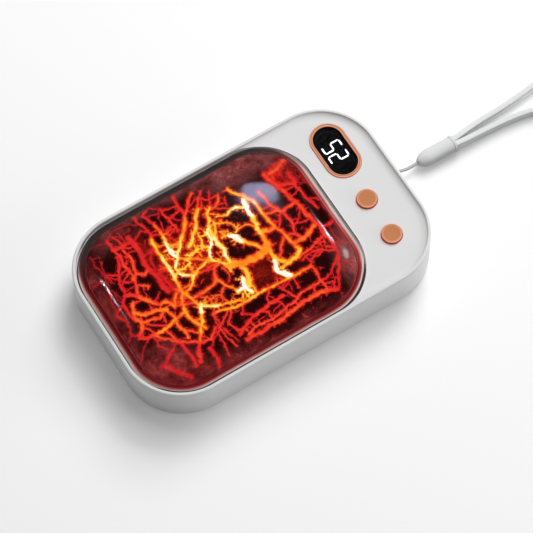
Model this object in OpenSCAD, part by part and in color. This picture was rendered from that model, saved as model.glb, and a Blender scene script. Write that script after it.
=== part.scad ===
// A flat, rechargeable hand warmer: a white housing with a clear domed window over a cracked,
// glowing plate, a lit display, two push buttons and a wrist lanyard.
// The origin is on the table, under the middle of the case. +Y points to the lanyard end.

/* [Case] */
// Length of the case, from the bare end to the lanyard end
case_l = 105.6; // [104:0.2:112]
// Width of the case
case_w = 66; // [65:0.5:72]
// Height of the rim above the table
rim_h = 15.4; // [15.2:0.1:17]
// Corner radius of the case, seen from above
corner_r = 19.3; // [18:0.1:20.5]
// Thickness of the side walls
wall = 2.2; // [2:0.1:2.5]
// Width of the rim along the clear window
rim_w = 1.25; // [1.1:0.05:1.5]
// Rounding of the case's lower edge
foot_r = 1.6; // [0.8:0.1:1.8]
// Rounding of the rim's upper edge
rim_r = 0.5; // [0.2:0.05:0.6]
// Thickness of the rear cover
cover_t = 1.6; // [1.4:0.1:1.9]

/* [Control panel] */
// Depth of the control panel below the rim
panel_drop = 1.1; // [0.8:0.1:1.4]
// Thickness of the control panel
panel_t = 1.9; // [1.7:0.1:2.1]
// Width of the slope between the rim and the panel
slope_w = 2.5; // [1.8:0.1:2.8]
// Distance from the lanyard end to the middle of the buttons
controls_in = 13.6; // [12.8:0.1:14.6]

/* [Clear window] */
// Distance from the lanyard end to the near edge of the window
window_in = 23.5; // [22.5:0.1:25]
// Width of the flat flange round the window
flange_w = 1.3; // [1:0.1:1.6]
// Height of the flange above the control panel
flange_rise = 1.2; // [0.9:0.1:1.4]
// Height of the dome above its flange
dome_h = 4.4; // [3.8:0.1:6]
// Width of the dome's rounded shoulder
shoulder_w = 13; // [11:0.5:14]
// Thickness of the clear dome
dome_t = 1.3; // [1:0.1:1.5]
// Depth of the window's seat below the control panel
seat_drop = 1; // [0.8:0.1:1.1]
// Thickness of the adhesive under the window
seal_t = 0.2; // [0.1:0.05:0.3]
// Gap between the dome and the cracked plate under it
lava_gap = 0.4; // [0.3:0.05:0.6]
// Thickness of the cracked plate
lava_t = 1.4; // [1:0.1:1.6]

/* [Display] */
// Length of the display ring
ring_l = 20.3; // [19.4:0.1:20.8]
// Width of the display ring
ring_w = 11.7; // [11.2:0.1:12.6]
// Width of the ring's metal
ring_t = 1.1; // [0.9:0.1:1.3]
// Height of the ring above the panel
ring_rise = 0.5; // [0.3:0.05:0.7]
// Thickness of the display window
pane_t = 0.8; // [0.6:0.1:0.9]
// Distance from the side of the case to the middle of the display
display_in = 17.5; // [17.2:0.1:18]
// How much nearer the lanyard end the display sits than the buttons
display_ahead = 0.75; // [0.5:0.05:1]
// Width of one lit digit
digit_w = 3.1; // [2.9:0.05:3.2]
// Height of one lit digit
digit_h = 6.7; // [6.3:0.1:6.9]
// Width of one lit stroke
stroke_w = 0.6; // [0.5:0.02:0.8]
// Gap between the two digits
digit_gap = 0.8; // [0.6:0.05:1]

/* [Buttons] */
// Diameter of a button cap
cap_d = 6.6; // [6:0.1:7.2]
// Height of a cap above the panel
cap_rise = 1; // [0.8:0.05:1.1]
// How far a button goes down
travel = 0.4; // [0.3:0.05:0.45]
// Distance from the side of the case to the middle of the mode button
mode_in = 15; // [14.5:0.1:16]
// Place of the power button between the display, at 0, and the mode button, at 1
power_share = 0.46; // [0.42:0.0025:0.58]
// Gap round a cap in its hole
cap_gap = 0.1; // [0.05:0.01:0.1]

/* [Inside] */
// Thickness of the foam pad under the battery cell
pad_t = 0.8; // [0.6:0.1:1.2]
// Room between the battery cell and each side wall
battery_side = 3.8; // [3.2:0.1:6]
// Room between the battery cell and the bosses at the bare end
battery_end = 1.2; // [1:0.1:6]
// Thickness of the heat spreader
spreader_t = 0.8; // [0.6:0.1:1]
// Thickness of the heater film
film_t = 0.3; // [0.2:0.05:0.4]
// Thickness of a circuit board
pcb_t = 1; // [0.8:0.1:1.1]
// Height of the light tray over the lamp board
tray_h = 2.2; // [2:0.1:2.4]
// Thickness of the light tray's face and skirt
tray_t = 1; // [0.8:0.1:1.1]

/* [Lanyard] */
// Width of the flat wrist strap
strap_w = 3.5; // [3.3:0.05:3.6]
// Thickness of the wrist strap
strap_t = 1.7; // [1.4:0.05:1.75]
// Diameter of the thin cord
cord_d = 1.1; // [0.9:0.05:1.1]
// Diameter of the sleeve
sleeve_d = 5.6; // [5.4:0.1:5.6]
// Length of the sleeve
sleeve_l = 13.8; // [13.4:0.1:14]
// Diameter of the anchor pin
pin_d = 1.4; // [1.2:0.1:1.5]

/* [Hidden] */
$fn = 64;
quarter = 90;
turn = 360;
// Overrun of every cut, running gap, and gap of a snug fit
cut = 0.5;
fit = 0.1;
slip = 0.05;
// Thickness of the slices that a sloped cut is drawn between
slice = 0.01;
hull_fn = 48;
arc_steps = 5;

// Levels, from the rim down
panel_z = rim_h - panel_drop;
cavity_top = panel_z - panel_t;
seat_z = panel_z - seat_drop;
flange_z = panel_z + flange_rise;
tray_z = cavity_top - tray_h;
lamp_board_z = tray_z - pcb_t;
tape_t = 0.5;
// Levels, from the rear cover up
film_z = cover_t + spreader_t;
pad_z = film_z + film_t;
battery_z = pad_z + pad_t;
battery_t = lamp_board_z - tape_t - battery_z;

// Outline of the clear window and the ledge under it
window_hw = case_w/2 - rim_w - fit;
window_y0 = -case_l/2 + rim_w + fit;
window_y1 = case_l/2 - window_in;
window_r = corner_r - rim_w - fit;
ledge_w = 4.9;
seal_w = 2.3;
seal_in = 0.15;

// Section of the dome: a shoulder on a flange, and a slight crown
shoulder_power = 2.5;
shoulder_steps = 7;
crown_rise = 0.5;
crown_in = 8;
flange_round = 0.35;
flange_steps = 2;
corner_steps = 8;
corner_share = 0.55;
lava_in = flange_w + dome_t + lava_gap;

// Screws and their bosses in the corners of the case
screw_r = 1;
head_r = 1.8;
head_t = 0.8;
head_sink = 0.1;
recess_w = 0.5;
recess_l = 2.2;
recess_t = 0.5;
screw_l = 7.5;
boss_r = 2.6;
boss_root = 0.4;
boss_gap = 0.6;
boss_out = corner_r - wall - boss_r + fit;
boss_x = case_w/2 - corner_r + boss_out*cos(quarter/2);
boss_y = case_l/2 - corner_r + boss_out*sin(quarter/2);
corners = [for (x = [-boss_x, boss_x], y = [-boss_y, boss_y]) [x, y]];

// Display, buttons and the switches under them, in one row
controls_y = case_l/2 - controls_in;
display_y = controls_y + display_ahead;
display_x = case_w/2 - display_in;
mode_x = case_w/2 - mode_in;
display_end = ring_l/2 - display_x;
power_x = display_end + power_share*(mode_x - cap_d/2 - display_end);
flange_out = 0.7;
cap_flange_t = 0.8;
cap_rest = 0.1;
cap_chamfer = 0.3;
cap_z = cavity_top - cap_rest - cap_flange_t;
plunger_gap = 0.5;
plunger_out = travel + plunger_gap;
plunger_in = 0.7;
plunger_r = 1;
switch_h = 1.6;
switch_w = 4.5;
switch_floor = 0.2;
board_top = cap_z - plunger_out - switch_h;
board_z = board_top - pcb_t;

// Main board, its posts and its screws
board_gap = 0.5;
board_in = 25.3;
board_y0 = case_l/2 - board_in;
post_r = 1.9;
post_screw_r = 0.8;
post_screw_l = 2.4;
post_head_r = 1.5;
post_head_t = 0.8;
post_side_in = 9;
post_side = case_w/2 - post_side_in;
post_near = 4;
post_mid_off = 0.45;
post_mid_x = display_end + post_mid_off;
post_mid_in = 9.2;
posts = [[-post_side, board_y0 + post_near], [post_side, board_y0 + post_near],
         [post_mid_x, case_l/2 - post_mid_in]];

// Display
ring_sink = 1.2;
ring_seat_z = panel_z - ring_sink;
lip_w = 2;
pane_rise = 0.1;
pane_z = panel_z + pane_rise - pane_t;
glow_t = 0.1;
module_end = 2.9;
module_side = 0.25;
module_l = ring_l - 2*(lip_w + module_end);
module_w = ring_w - 2*(lip_w + module_side);
stroke_gap = 0.25;
ring_round = 0.35;

// Charging socket in the end wall
socket_x = 8.6;
socket_w = 8.94;
socket_h = 3.26;
socket_l = 7.35;
socket_t = 0.3;
socket_in = 0.8;
socket_back = 0.5;
socket_z = board_z - socket_h/2;
tongue_w = 6.6;
tongue_t = 0.7;
tongue_l = 5.2;

// Anchor pin of the lanyard, in a pocket of the end wall
slot_x = -2.5;
slot_w = 5;
slot_clear = 0.4;
slot_depth = 4.9;
slot_wall = 1;
slot_z = 2.8;
slot_h = board_z - slot_clear - slot_wall - slot_z;
pin_in = 2.6;
pin_set = 0.8;
pin_y = case_l/2 - pin_in;

// Battery, heater and lamps
battery_gap = 3.5;
battery_w = case_w - 2*(wall + battery_side);
battery_y0 = boss_r + battery_end - boss_y;
battery_y1 = board_y0 - battery_gap;
guard_t = 0.8;
guard_in = 9;
guard_lift = 0.4;
battery_r = 1.2;
spreader_in = 16.8;
spreader_y1 = case_l/2 - spreader_in;
spreader_r = 3;
film_in = 2;
tape_in = 7;
tray_over = 1.2;
tray_y1 = window_y1 - ledge_w + tray_over;
lamp_w = 2.8;
lamp_l = 3.5;
lamp_t = 0.8;
lamp_rows = 5;
lamp_columns = 3;
lamp_side = 15.65;
lamp_end = 13.4;
lamp_pitch_x = 2*(window_hw - lamp_side)/(lamp_columns - 1);
lamp_pitch_y = (window_y1 - window_y0 - 2*lamp_end)/(lamp_rows - 1);
ribbon_w = 6;
ribbon_t = 0.12;
ribbon_in = 3;
ribbon_on = 2.6;
ribbon_x = -2;

// Small parts of the main board, in three rows from its near edge
near_row = 4.9;
middle_row = 7.5;
far_row = 12.5;
plug_w = 6;
plug_l = 4.4;
plug_clear = 2.1;
plug_h = board_z - pad_z - plug_clear;
plug_off = 7;
plug_x = plug_off - post_side;
plug_in = 1.4;
choke_w = 6;
choke_h = 3;
choke_off = 10;
choke_x = boss_x - choke_off;
choke_y = board_y0 + far_row;
choke_r = 1;
chip_w = 5;
chip_t = 0.9;
charger_x = -10;
charger_y = board_y0 + far_row;
controller_w = 6;
controller_x = 11;
controller_y = board_y0 + near_row;
capacitor_w = 1.2;
capacitor_l = 2;
capacitor_t = 0.9;
capacitor_pitch = 3.2;
capacitors = 4;
capacitor_x = -4;
capacitor_y = board_y0 + middle_row;
bead_r = 0.9;
bead_l = 3;
bead_side = 8;
bead_x = battery_w/2 - bead_side;
bead_in = 5;
bead_y = spreader_y1 - bead_in;

// Wires, each a route of its own
wire_r = 0.45;
wire_sides = 8;
wire_z = battery_z + battery_t/2;
wire_pitch = 2.4;
wire_dip = 0.4;
near_plug = 0.9;
// Leads that rise from the heater film and the temperature sensor to the board
rise_shares = [[0, 0, 0], [0.3, 0.33, 0.08], [0.65, 0.66, 0.33], [0.85, 0.87, 0.65], [1, 1, 1]];
rise_lean = 0.6;
rise_out = 3.9;
rise_gap = 0.5;
heater_leads_n = 2;
heater_lead_pitch = 1.5;
heater_lead_in = 5;
sensor_wire_r = 0.3;

// Sleeve of the lanyard, lying on the table
sleeve_tip = [-3.05, 62.8];
sleeve_turn = 0.7;
sleeve_nose = 4.4;
sleeve_edge = 0.3;
sleeve_z = sleeve_d/2;
pocket_l = 2.2;
pocket_gap = 0.1;
nose_steps = 7;

// Thin cord: round the anchor pin, out of the pocket and into the sleeve
cord_route = [[-1.9, 52.1, 4.7], [-1.45, 51.25, 4.7], [-1, 50.2, 4.7], [-1.44, 49.14, 4.7],
    [-2.5, 48.7, 4.7], [-3.56, 49.14, 4.7], [-4, 50.2, 4.7], [-4, 51.4, 4.68], [-3.93, 52.7, 4.58],
    [-3.75, 54.1, 4.3], [-3.45, 55.6, 3.85], [-3.18, 57.2, 3.35], [-3.02, 58.9, 2.98],
    [-3, 60.7, 2.83], [-3.05, 62.8, 2.8], [-3.01, 65.8, 2.8], [-2.98, 68.8, 2.8],
    [-2.94, 71.8, 2.8], [-2.91, 74.3, 2.8]];

strap_bevel_share = 0.2;
// Wrist strap: one band on its edge, from the sleeve, round the loop and back
strap_route = [[-3.82, 74.61, 2.8], [-3.81, 76.7, 2.8], [-4.05, 79.5, 2.68], [-4.6, 83, 2.4],
    [-5.05, 87, 2.1], [-5.35, 93, 1.85], [-5.85, 100, 1.8], [-6.7, 108, 1.8], [-8.3, 117.5, 1.8],
    [-10.9, 128, 1.8], [-13.7, 139.5, 1.8], [-16.2, 151.5, 1.8], [-17.6, 163.5, 1.8],
    [-17.3, 175, 1.8], [-14.5, 185, 1.8], [-9.6, 192.6, 1.8], [-3, 197, 1.8], [4.2, 198, 1.8],
    [11, 195.8, 1.8], [16.4, 190.8, 1.8], [20, 183, 1.8], [21.2, 173, 1.8], [20.2, 162, 1.8],
    [17.2, 150.5, 1.8], [13.2, 139, 1.8], [8.9, 128, 1.8], [4.8, 117.5, 1.8], [1.8, 109, 1.8],
    [0, 102.5, 1.8], [-1, 96, 1.85], [-1.4, 90.5, 2], [-1.6, 85, 2.25], [-1.72, 80.5, 2.55],
    [-1.96, 76.7, 2.8], [-2, 74.59, 2.8]];

// Outlines and plain solids
function arc(x, y, r, from, to, steps) =
    [for (i = [0:steps]) let (a = from + (to - from)*i/steps) [x + r*cos(a), y + r*sin(a)]];

module plan(hw, y0, y1, r) {
    for (x = [-hw + r, hw - r], y = [y0 + r, y1 - r]) translate([x, y]) circle(r);
    translate([-hw + r, y0]) square([2*(hw - r), y1 - y0]);
    translate([-hw, y0 + r]) square([2*hw, y1 - y0 - 2*r]);
}

module slab(hw, y0, y1, r, z0, z1) {
    translate([0, 0, z0]) linear_extrude(z1 - z0) plan(hw, y0, y1, r);
}

// A slab whose outline is the case's own, drawn in by a distance
module case_slab(inset, z0, z1) {
    slab(case_w/2 - inset, -case_l/2 + inset, case_l/2 - inset, corner_r - inset, z0, z1);
}

// A slab whose outline is the window's own, drawn in by a distance
module window_slab(inset, z0, z1) {
    slab(window_hw - inset, window_y0 + inset, window_y1 - inset, window_r - inset, z0, z1);
}

module pill(l, w) {
    square([l - w, w], center = true);
    for (side = [-1, 1]) translate([side*(l - w)/2, 0]) circle(d = w);
}

module pill_slab(l, w, z0, z1) {
    translate([-display_x, display_y, z0]) linear_extrude(z1 - z0) pill(l, w);
}

module rod(x, y, z0, z1, r) {
    translate([x, y, z0]) cylinder(r = r, h = z1 - z0);
}

module block(x0, x1, y0, y1, z0, z1) {
    translate([x0, y0, z0]) cube([x1 - x0, y1 - y0, z1 - z0]);
}

// A block on the underside of the main board
module under_board(x, y, w, l, h) {
    block(x - w/2, x + w/2, y - l/2, y + l/2, board_z - h, board_z);
}

// A skin through a list of rings, closed at both ends
module loft(rings) {
    n = len(rings[0]);
    last = len(rings) - 1;
    polyhedron(points = [for (ring = rings) each ring], faces = concat(
        [[for (i = [0:n - 1]) i]],
        [for (j = [0:last - 1], i = [0:n - 1]) [j*n + i, (j + 1)*n + i, (j + 1)*n + (i + 1)%n]],
        [for (j = [0:last - 1], i = [0:n - 1]) [j*n + i, (j + 1)*n + (i + 1)%n, j*n + (i + 1)%n]],
        [[for (i = [n - 1:-1:0]) last*n + i]]));
}

// Rings square to a route, each a list of places across it and up it
function unit(v) = v/norm(v);
function heading(route, i) = unit(route[min(i + 1, len(route) - 1)] - route[max(i - 1, 0)]);
function across(way) = unit(cross(way, [0, 0, 1]));
function swept(route, section) = [for (i = [0:len(route) - 1])
    let (way = heading(route, i), u = across(way), v = cross(way, u))
    [for (p = section) route[i] + p.x*u + p.y*v]];
function round_section(r, sides) = [for (i = [0:sides - 1]) r*[cos(turn*i/sides), sin(turn*i/sides)]];
function band_section(t, w, bevel) = [[t/2, bevel - w/2], [t/2, w/2 - bevel], [t/2 - bevel, w/2],
    [bevel - t/2, w/2], [-t/2, w/2 - bevel], [-t/2, bevel - w/2], [bevel - t/2, -w/2], [t/2 - bevel, -w/2]];

// Window rings: an outline drawn in by a distance, at a height
function window_ring(at) =
    let (hw = window_hw - at[0], y0 = window_y0 + at[0], y1 = window_y1 - at[0],
        r = window_r - at[0]*(at[0] > lava_in ? corner_share : 1)
            - (at[0] > lava_in ? lava_in*(1 - corner_share) : 0))
    [for (q = [0:3]) let (cx = (q == 0 || q == 3) ? hw - r : r - hw, cy = q < 2 ? y1 - r : y0 + r)
        for (i = [0:corner_steps]) let (a = quarter*(q + i/corner_steps))
            [cx + r*cos(a), cy + r*sin(a), at[1]]];

// The dome's section, a distance below its outer face: how far in, and how high
function shoulder(deep, i) =
    let (a = quarter*i/shoulder_steps, e = 2/shoulder_power,
        n = unit([pow(cos(a), 2 - e)/shoulder_w, pow(sin(a), 2 - e)/dome_h]))
    [flange_w + shoulder_w*(1 - pow(cos(a), e)) + deep*n.x, flange_z + dome_h*pow(sin(a), e) - deep*n.y];
function crown(deep) = [flange_w + shoulder_w + crown_in, flange_z + dome_h + crown_rise - deep];
function skin(deep) = concat([for (i = [0:shoulder_steps]) shoulder(deep, i)], [crown(deep)]);
function reversed(list) = [for (i = [len(list) - 1:-1:0]) list[i]];

// Case
module case_body() {
    profile = concat([[0, 0]], arc(corner_r - foot_r, foot_r, foot_r, -quarter, 0, arc_steps),
        arc(corner_r - rim_r, rim_h - rim_r, rim_r, 0, quarter, arc_steps), [[0, rim_h]]);
    hull() for (x = [-1, 1]*(case_w/2 - corner_r), y = [-1, 1]*(case_l/2 - corner_r))
        translate([x, y]) rotate_extrude($fn = hull_fn) polygon(profile);
}

module panel_sink() {
    hull() {
        case_slab(rim_w + slope_w, panel_z, panel_z + slice);
        case_slab(rim_w, rim_h, rim_h + cut);
    }
}

module socket_opening(extra, y0, y1) {
    translate([socket_x, y0, socket_z]) rotate([-quarter, 0, 0])
        linear_extrude(y1 - y0) pill(socket_w + 2*extra, socket_h + 2*extra);
}

module front_housing() color("whitesmoke") difference() {
    union() {
        difference() {
            case_body();
            case_slab(wall, -cut, cavity_top);
            panel_sink();
            window_slab(-fit, seat_z, rim_h + cut);
            window_slab(ledge_w, cavity_top - cut, rim_h);
        }
        for (p = corners) rod(p.x, p.y, cover_t, cavity_top + boss_root, boss_r);
        for (p = posts) rod(p.x, p.y, board_top, cavity_top + boss_root, post_r);
        block(slot_x - slot_w/2 - slot_wall, slot_x + slot_w/2 + slot_wall,
            case_l/2 - slot_depth - slot_wall, case_l/2 - wall + cut,
            slot_z - slot_wall, slot_z + slot_h + slot_wall);
    }
    pill_slab(ring_l + 2*slip, ring_w + 2*slip, ring_seat_z, rim_h);
    pill_slab(ring_l - 2*lip_w, ring_w - 2*lip_w, cavity_top - cut, rim_h);
    for (x = [power_x, mode_x]) rod(x, controls_y, cavity_top - cut, rim_h, cap_d/2 + cap_gap);
    for (p = corners) rod(p.x, p.y, cover_t - cut, cover_t + screw_l, screw_r + slip);
    for (p = posts) rod(p.x, p.y, board_top - cut, board_top + post_screw_l, post_screw_r + slip);
    block(slot_x - slot_w/2, slot_x + slot_w/2, case_l/2 - slot_depth, case_l/2 + cut,
        slot_z, slot_z + slot_h);
    rod(slot_x, pin_y, slot_z - slot_wall - cut, slot_z + slot_h + pin_set, pin_d/2);
    socket_opening(fit, case_l/2 - wall - cut, case_l/2 + cut);
}

module rear_cover() color("whitesmoke") difference() {
    case_slab(wall + fit, 0, cover_t);
    for (p = corners) {
        rod(p.x, p.y, -cut, head_sink + head_t, head_r + fit);
        rod(p.x, p.y, -cut, cover_t + cut, screw_r + slip);
    }
}

// A screw standing on its head, with a cross recess
module screw(r, l, hr, ht) {
    difference() {
        union() {
            cylinder(r = hr, h = ht);
            cylinder(r = r, h = ht + l);
        }
        for (a = [0, quarter]) rotate(a) translate([-recess_l/2, -recess_w/2, -cut])
            cube([recess_l, recess_w, recess_t + cut]);
    }
}

module cover_screws() color("silver") for (p = corners)
    translate([p.x, p.y, head_sink]) screw(screw_r, screw_l - 2*cut, head_r, head_t);

// Window and light
module clear_dome() color([0.85, 0.88, 0.9, 0.35]) loft([for (p = concat(reversed(skin(dome_t)),
    [[flange_w + dome_t, seat_z + seal_t], [0, seat_z + seal_t]],
    arc(flange_round, flange_z - flange_round, flange_round, 2*quarter, quarter, flange_steps),
    skin(0))) window_ring(p)]);

module dome_seal() color("black") difference() {
    window_slab(seal_in, seat_z, seat_z + seal_t);
    window_slab(seal_in + seal_w, seat_z - cut, seat_z + cut);
}

module cracked_plate() color("orangered") loft([for (p = concat(reversed(skin(dome_t + lava_gap + lava_t)),
    [[lava_in + lava_t, seat_z], [lava_in, seat_z]], skin(dome_t + lava_gap))) window_ring(p)]);

module boss_notches(z0, z1, extra) {
    for (p = corners) rod(p.x, p.y, z0 - cut, z1 + cut, boss_r + extra);
}

module light_tray() color("white") difference() {
    window_slab(ledge_w - tray_over, tray_z, cavity_top);
    difference() {
        window_slab(ledge_w - tray_over + tray_t, tray_z - cut, cavity_top - tray_t);
        boss_notches(tray_z - cut, cavity_top - tray_t, boss_gap + tray_t);
    }
    boss_notches(tray_z, cavity_top, boss_gap);
}

module lamp_board() color("ghostwhite") difference() {
    window_slab(ledge_w - tray_over, lamp_board_z, tray_z);
    boss_notches(lamp_board_z, tray_z, boss_gap);
}

module lamps() color("gold") for (i = [0:lamp_columns - 1], j = [0:lamp_rows - 1])
    translate([lamp_pitch_x*(i - (lamp_columns - 1)/2),
        (window_y0 + window_y1)/2 + lamp_pitch_y*(j - (lamp_rows - 1)/2), tray_z + lamp_t/2])
        cube([lamp_w, lamp_l, lamp_t], center = true);

module lamp_ribbon() color("darkorange")
    translate([ribbon_x - ribbon_w/2, 0, 0]) rotate([quarter, 0, quarter]) linear_extrude(ribbon_w)
        polygon([[tray_y1 - ribbon_in, lamp_board_z], [tray_y1, lamp_board_z],
            [board_y0, board_top + ribbon_t], [board_y0 + ribbon_on, board_top + ribbon_t],
            [board_y0 + ribbon_on, board_top], [board_y0, board_top],
            [tray_y1, lamp_board_z - ribbon_t], [tray_y1 - ribbon_in, lamp_board_z - ribbon_t]]);

// Display
module display_ring() color("peru") difference() {
    union() {
        pill_slab(ring_l, ring_w, ring_seat_z, panel_z + ring_rise - ring_round);
        pill_slab(ring_l - 2*ring_round, ring_w - 2*ring_round, ring_seat_z, panel_z + ring_rise);
    }
    pill_slab(ring_l - 2*ring_t, ring_w - 2*ring_t, ring_seat_z - cut, rim_h + cut);
}

module display_window() color([0.05, 0.05, 0.06, 0.9])
    pill_slab(ring_l - 2*ring_t - 2*slip, ring_w - 2*ring_t - 2*slip, pane_z, pane_z + pane_t);

module display_gasket() color("black") difference() {
    pill_slab(ring_l - 2*ring_t - 2*slip, ring_w - 2*ring_t - 2*slip, ring_seat_z, pane_z);
    pill_slab(ring_l - 2*lip_w, ring_w - 2*lip_w, ring_seat_z - cut, pane_z + cut);
}

module display_block() color("black")
    block(-display_x - module_l/2, -display_x + module_l/2,
        display_y - module_w/2, display_y + module_w/2, board_top, pane_z - glow_t);

// One stroke of a digit, pointed at both ends, lying along X
module stroke(l) {
    polygon([[-l/2, 0], [(stroke_w - l)/2, stroke_w/2], [(l - stroke_w)/2, stroke_w/2],
        [l/2, 0], [(l - stroke_w)/2, -stroke_w/2], [(stroke_w - l)/2, -stroke_w/2]]);
}

// The strokes of a digit: lying ones at three heights, standing ones at four places
module digit(lying, standing) {
    x = (digit_w - stroke_w)/2;
    y = (digit_h - stroke_w)/2;
    for (row = lying) translate([0, row*y]) stroke(2*x - stroke_gap);
    for (place = standing) translate([place.x*x, place.y*y/2]) rotate(quarter) stroke(y - stroke_gap);
}

module lit_digits() color("white") translate([-display_x, display_y, pane_z - glow_t])
    linear_extrude(glow_t) {
        translate([-(digit_w + digit_gap)/2, 0]) digit([-1, 0, 1], [[-1, 1], [1, -1]]);
        translate([(digit_w + digit_gap)/2, 0]) digit([-1, 0, 1], [[1, 1], [-1, -1]]);
    }

// Buttons and switches
module cap(x) {
    r = cap_d/2;
    top = panel_z + cap_rise - cap_z;
    translate([x, controls_y, cap_z]) rotate_extrude() polygon([[0, 0], [r + flange_out, 0],
        [r + flange_out, cap_flange_t], [r, cap_flange_t], [r, top - cap_chamfer],
        [r - cap_chamfer, top], [0, top]]);
}

module plunger(x) {
    rod(x, controls_y, cap_z - plunger_out - plunger_in, cap_z, plunger_r);
}

module switch_box(x) {
    difference() {
        block(x - switch_w/2, x + switch_w/2, controls_y - switch_w/2, controls_y + switch_w/2,
            board_top, board_top + switch_h);
        rod(x, controls_y, board_top + switch_floor, board_top + switch_h + cut, plunger_r + slip);
    }
}

module power_button() color("peru") cap(power_x);
module mode_button() color("peru") cap(mode_x);
module power_plunger() color("dimgray") plunger(power_x);
module mode_plunger() color("dimgray") plunger(mode_x);
module power_switch() color("silver") switch_box(power_x);
module mode_switch() color("silver") switch_box(mode_x);

// Main board and what it carries
module main_board() color("darkgreen") difference() {
    intersection() {
        case_slab(wall + board_gap, board_z, board_top);
        block(-case_w, case_w, board_y0, case_l, board_z - cut, board_top + cut);
    }
    boss_notches(board_z, board_top, boss_gap);
    for (p = posts) rod(p.x, p.y, board_z - cut, board_top + cut, post_screw_r + slip);
}

module board_screws() color("silver") for (p = posts)
    translate([p.x, p.y, board_z - post_head_t]) screw(post_screw_r, pcb_t + post_screw_l - fit,
        post_head_r, post_head_t);

module socket_shell() color("silver") difference() {
    socket_opening(0, case_l/2 - socket_in - socket_l, case_l/2 - socket_in);
    socket_opening(-socket_t, case_l/2 - socket_in - socket_l + socket_back, case_l/2);
}

module socket_tongue() color("black") translate([socket_x - tongue_w/2,
    case_l/2 - socket_in - socket_l + socket_back, socket_z - tongue_t/2])
    cube([tongue_w, tongue_l, tongue_t]);

module controller_chip() color("black") block(controller_x - controller_w/2, controller_x + controller_w/2,
    controller_y - controller_w/2, controller_y + controller_w/2, board_top, board_top + chip_t);
module charger_chip() color("black") under_board(charger_x, charger_y, chip_w, chip_w, chip_t);

module power_choke() color("gray") difference() {
    under_board(choke_x, choke_y, choke_w, choke_w, choke_h);
    rod(choke_x, choke_y, board_z - choke_h - cut, board_z - choke_h + cut, choke_r);
}

module capacitor_row() color("tan") for (i = [0:capacitors - 1])
    under_board(capacitor_x + capacitor_pitch*i, capacitor_y, capacitor_w, capacitor_l, capacitor_t);

module battery_plug() color("white")
    under_board(plug_x, board_y0 + plug_in + plug_l/2, plug_w, plug_l, plug_h);

// Battery
module battery_cell() color("lightsteelblue")
    slab(battery_w/2, battery_y0, battery_y1, battery_r, battery_z, battery_z + battery_t);

module cell_guard() color("gold") block(guard_in - battery_w/2, battery_w/2 - guard_in, battery_y1,
    battery_y1 + guard_t, battery_z + guard_lift, battery_z + battery_t - guard_lift);

// One battery wire, a short way along X from the middle of the plug
module battery_wire(side) {
    x = plug_x + side*wire_pitch/2;
    y0 = battery_y1 + guard_t;
    y1 = board_y0 + plug_in;
    route = [[x, y0, wire_z], [x, y0 + near_plug, wire_z], [x, (y0 + y1)/2, wire_z - wire_dip],
        [x, y1 - near_plug, wire_z], [x, y1, wire_z]];
    loft(swept(route, round_section(wire_r, wire_sides)));
}

module red_lead() color("firebrick") battery_wire(-1);
module black_lead() color("black") battery_wire(1);
module battery_tape() color("lightyellow") slab(battery_w/2 - tape_in, battery_y0 + tape_in,
    battery_y1 - tape_in, battery_r, lamp_board_z - tape_t, lamp_board_z);
module battery_pad() color("dimgray") slab(battery_w/2 - battery_r, battery_y0 + battery_r,
    battery_y1 - battery_r, battery_r, pad_z, battery_z);

// Heater
module heat_spreader() color("silver")
    slab(battery_w/2, battery_y0, spreader_y1, spreader_r, cover_t, film_z);
module heater_film() color("chocolate")
    slab(battery_w/2 - film_in, battery_y0 + film_in, spreader_y1 - film_in, spreader_r, film_z, pad_z);
function rise(x, y, z) = [for (p = rise_shares)
    [x + p.x*rise_lean, y + p.y*rise_out, z + p.z*(board_z - rise_gap - z)]];
module heater_leads() color("white") for (i = [0:heater_leads_n - 1])
    loft(swept(rise(battery_w/2 - heater_lead_in + i*heater_lead_pitch, bead_y + wire_r, pad_z + wire_r),
        round_section(wire_r, wire_sides)));
module heat_sensor() color("saddlebrown") translate([bead_x, bead_y - bead_l/2, pad_z + bead_r])
    rotate([-quarter, 0, 0]) cylinder(r = bead_r, h = bead_l);
module sensor_lead() color("black")
    loft(swept(rise(bead_x, bead_y + bead_l/2 + fit, pad_z + bead_r),
        round_section(sensor_wire_r, wire_sides)));

// Lanyard
module lanyard_pin() color("silver")
    rod(slot_x, pin_y, slot_z - slot_wall, slot_z + slot_h + pin_set, pin_d/2 - slip/2);

module lanyard_cord() color("white") loft(swept(cord_route, round_section(cord_d/2, wire_sides)));

module lanyard_sleeve() color("gainsboro") translate([sleeve_tip.x, sleeve_tip.y, sleeve_z])
    rotate([0, 0, -sleeve_turn]) difference() {
        rotate([-quarter, 0, 0]) rotate_extrude() polygon(concat(
            [for (i = [0:nose_steps]) let (a = quarter*i/nose_steps)
                [sleeve_z*sin(a), sleeve_nose*(1 - cos(a))]],
            [[sleeve_z, sleeve_l - sleeve_edge], [sleeve_z - sleeve_edge, sleeve_l], [0, sleeve_l]]));
        rotate([-quarter, 0, 0]) translate([0, 0, -cut])
            cylinder(r = cord_d/2 + slip, h = sleeve_l);
        translate([-strap_t - pocket_gap - slip, sleeve_l - pocket_l, -strap_w/2 - pocket_gap])
            cube([2*(strap_t + pocket_gap + slip), pocket_l + cut, strap_w + 2*pocket_gap]);
    }

module wrist_strap() color("white")
    loft(swept(strap_route, band_section(strap_t, strap_w, strap_bevel_share*strap_t)));

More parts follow.
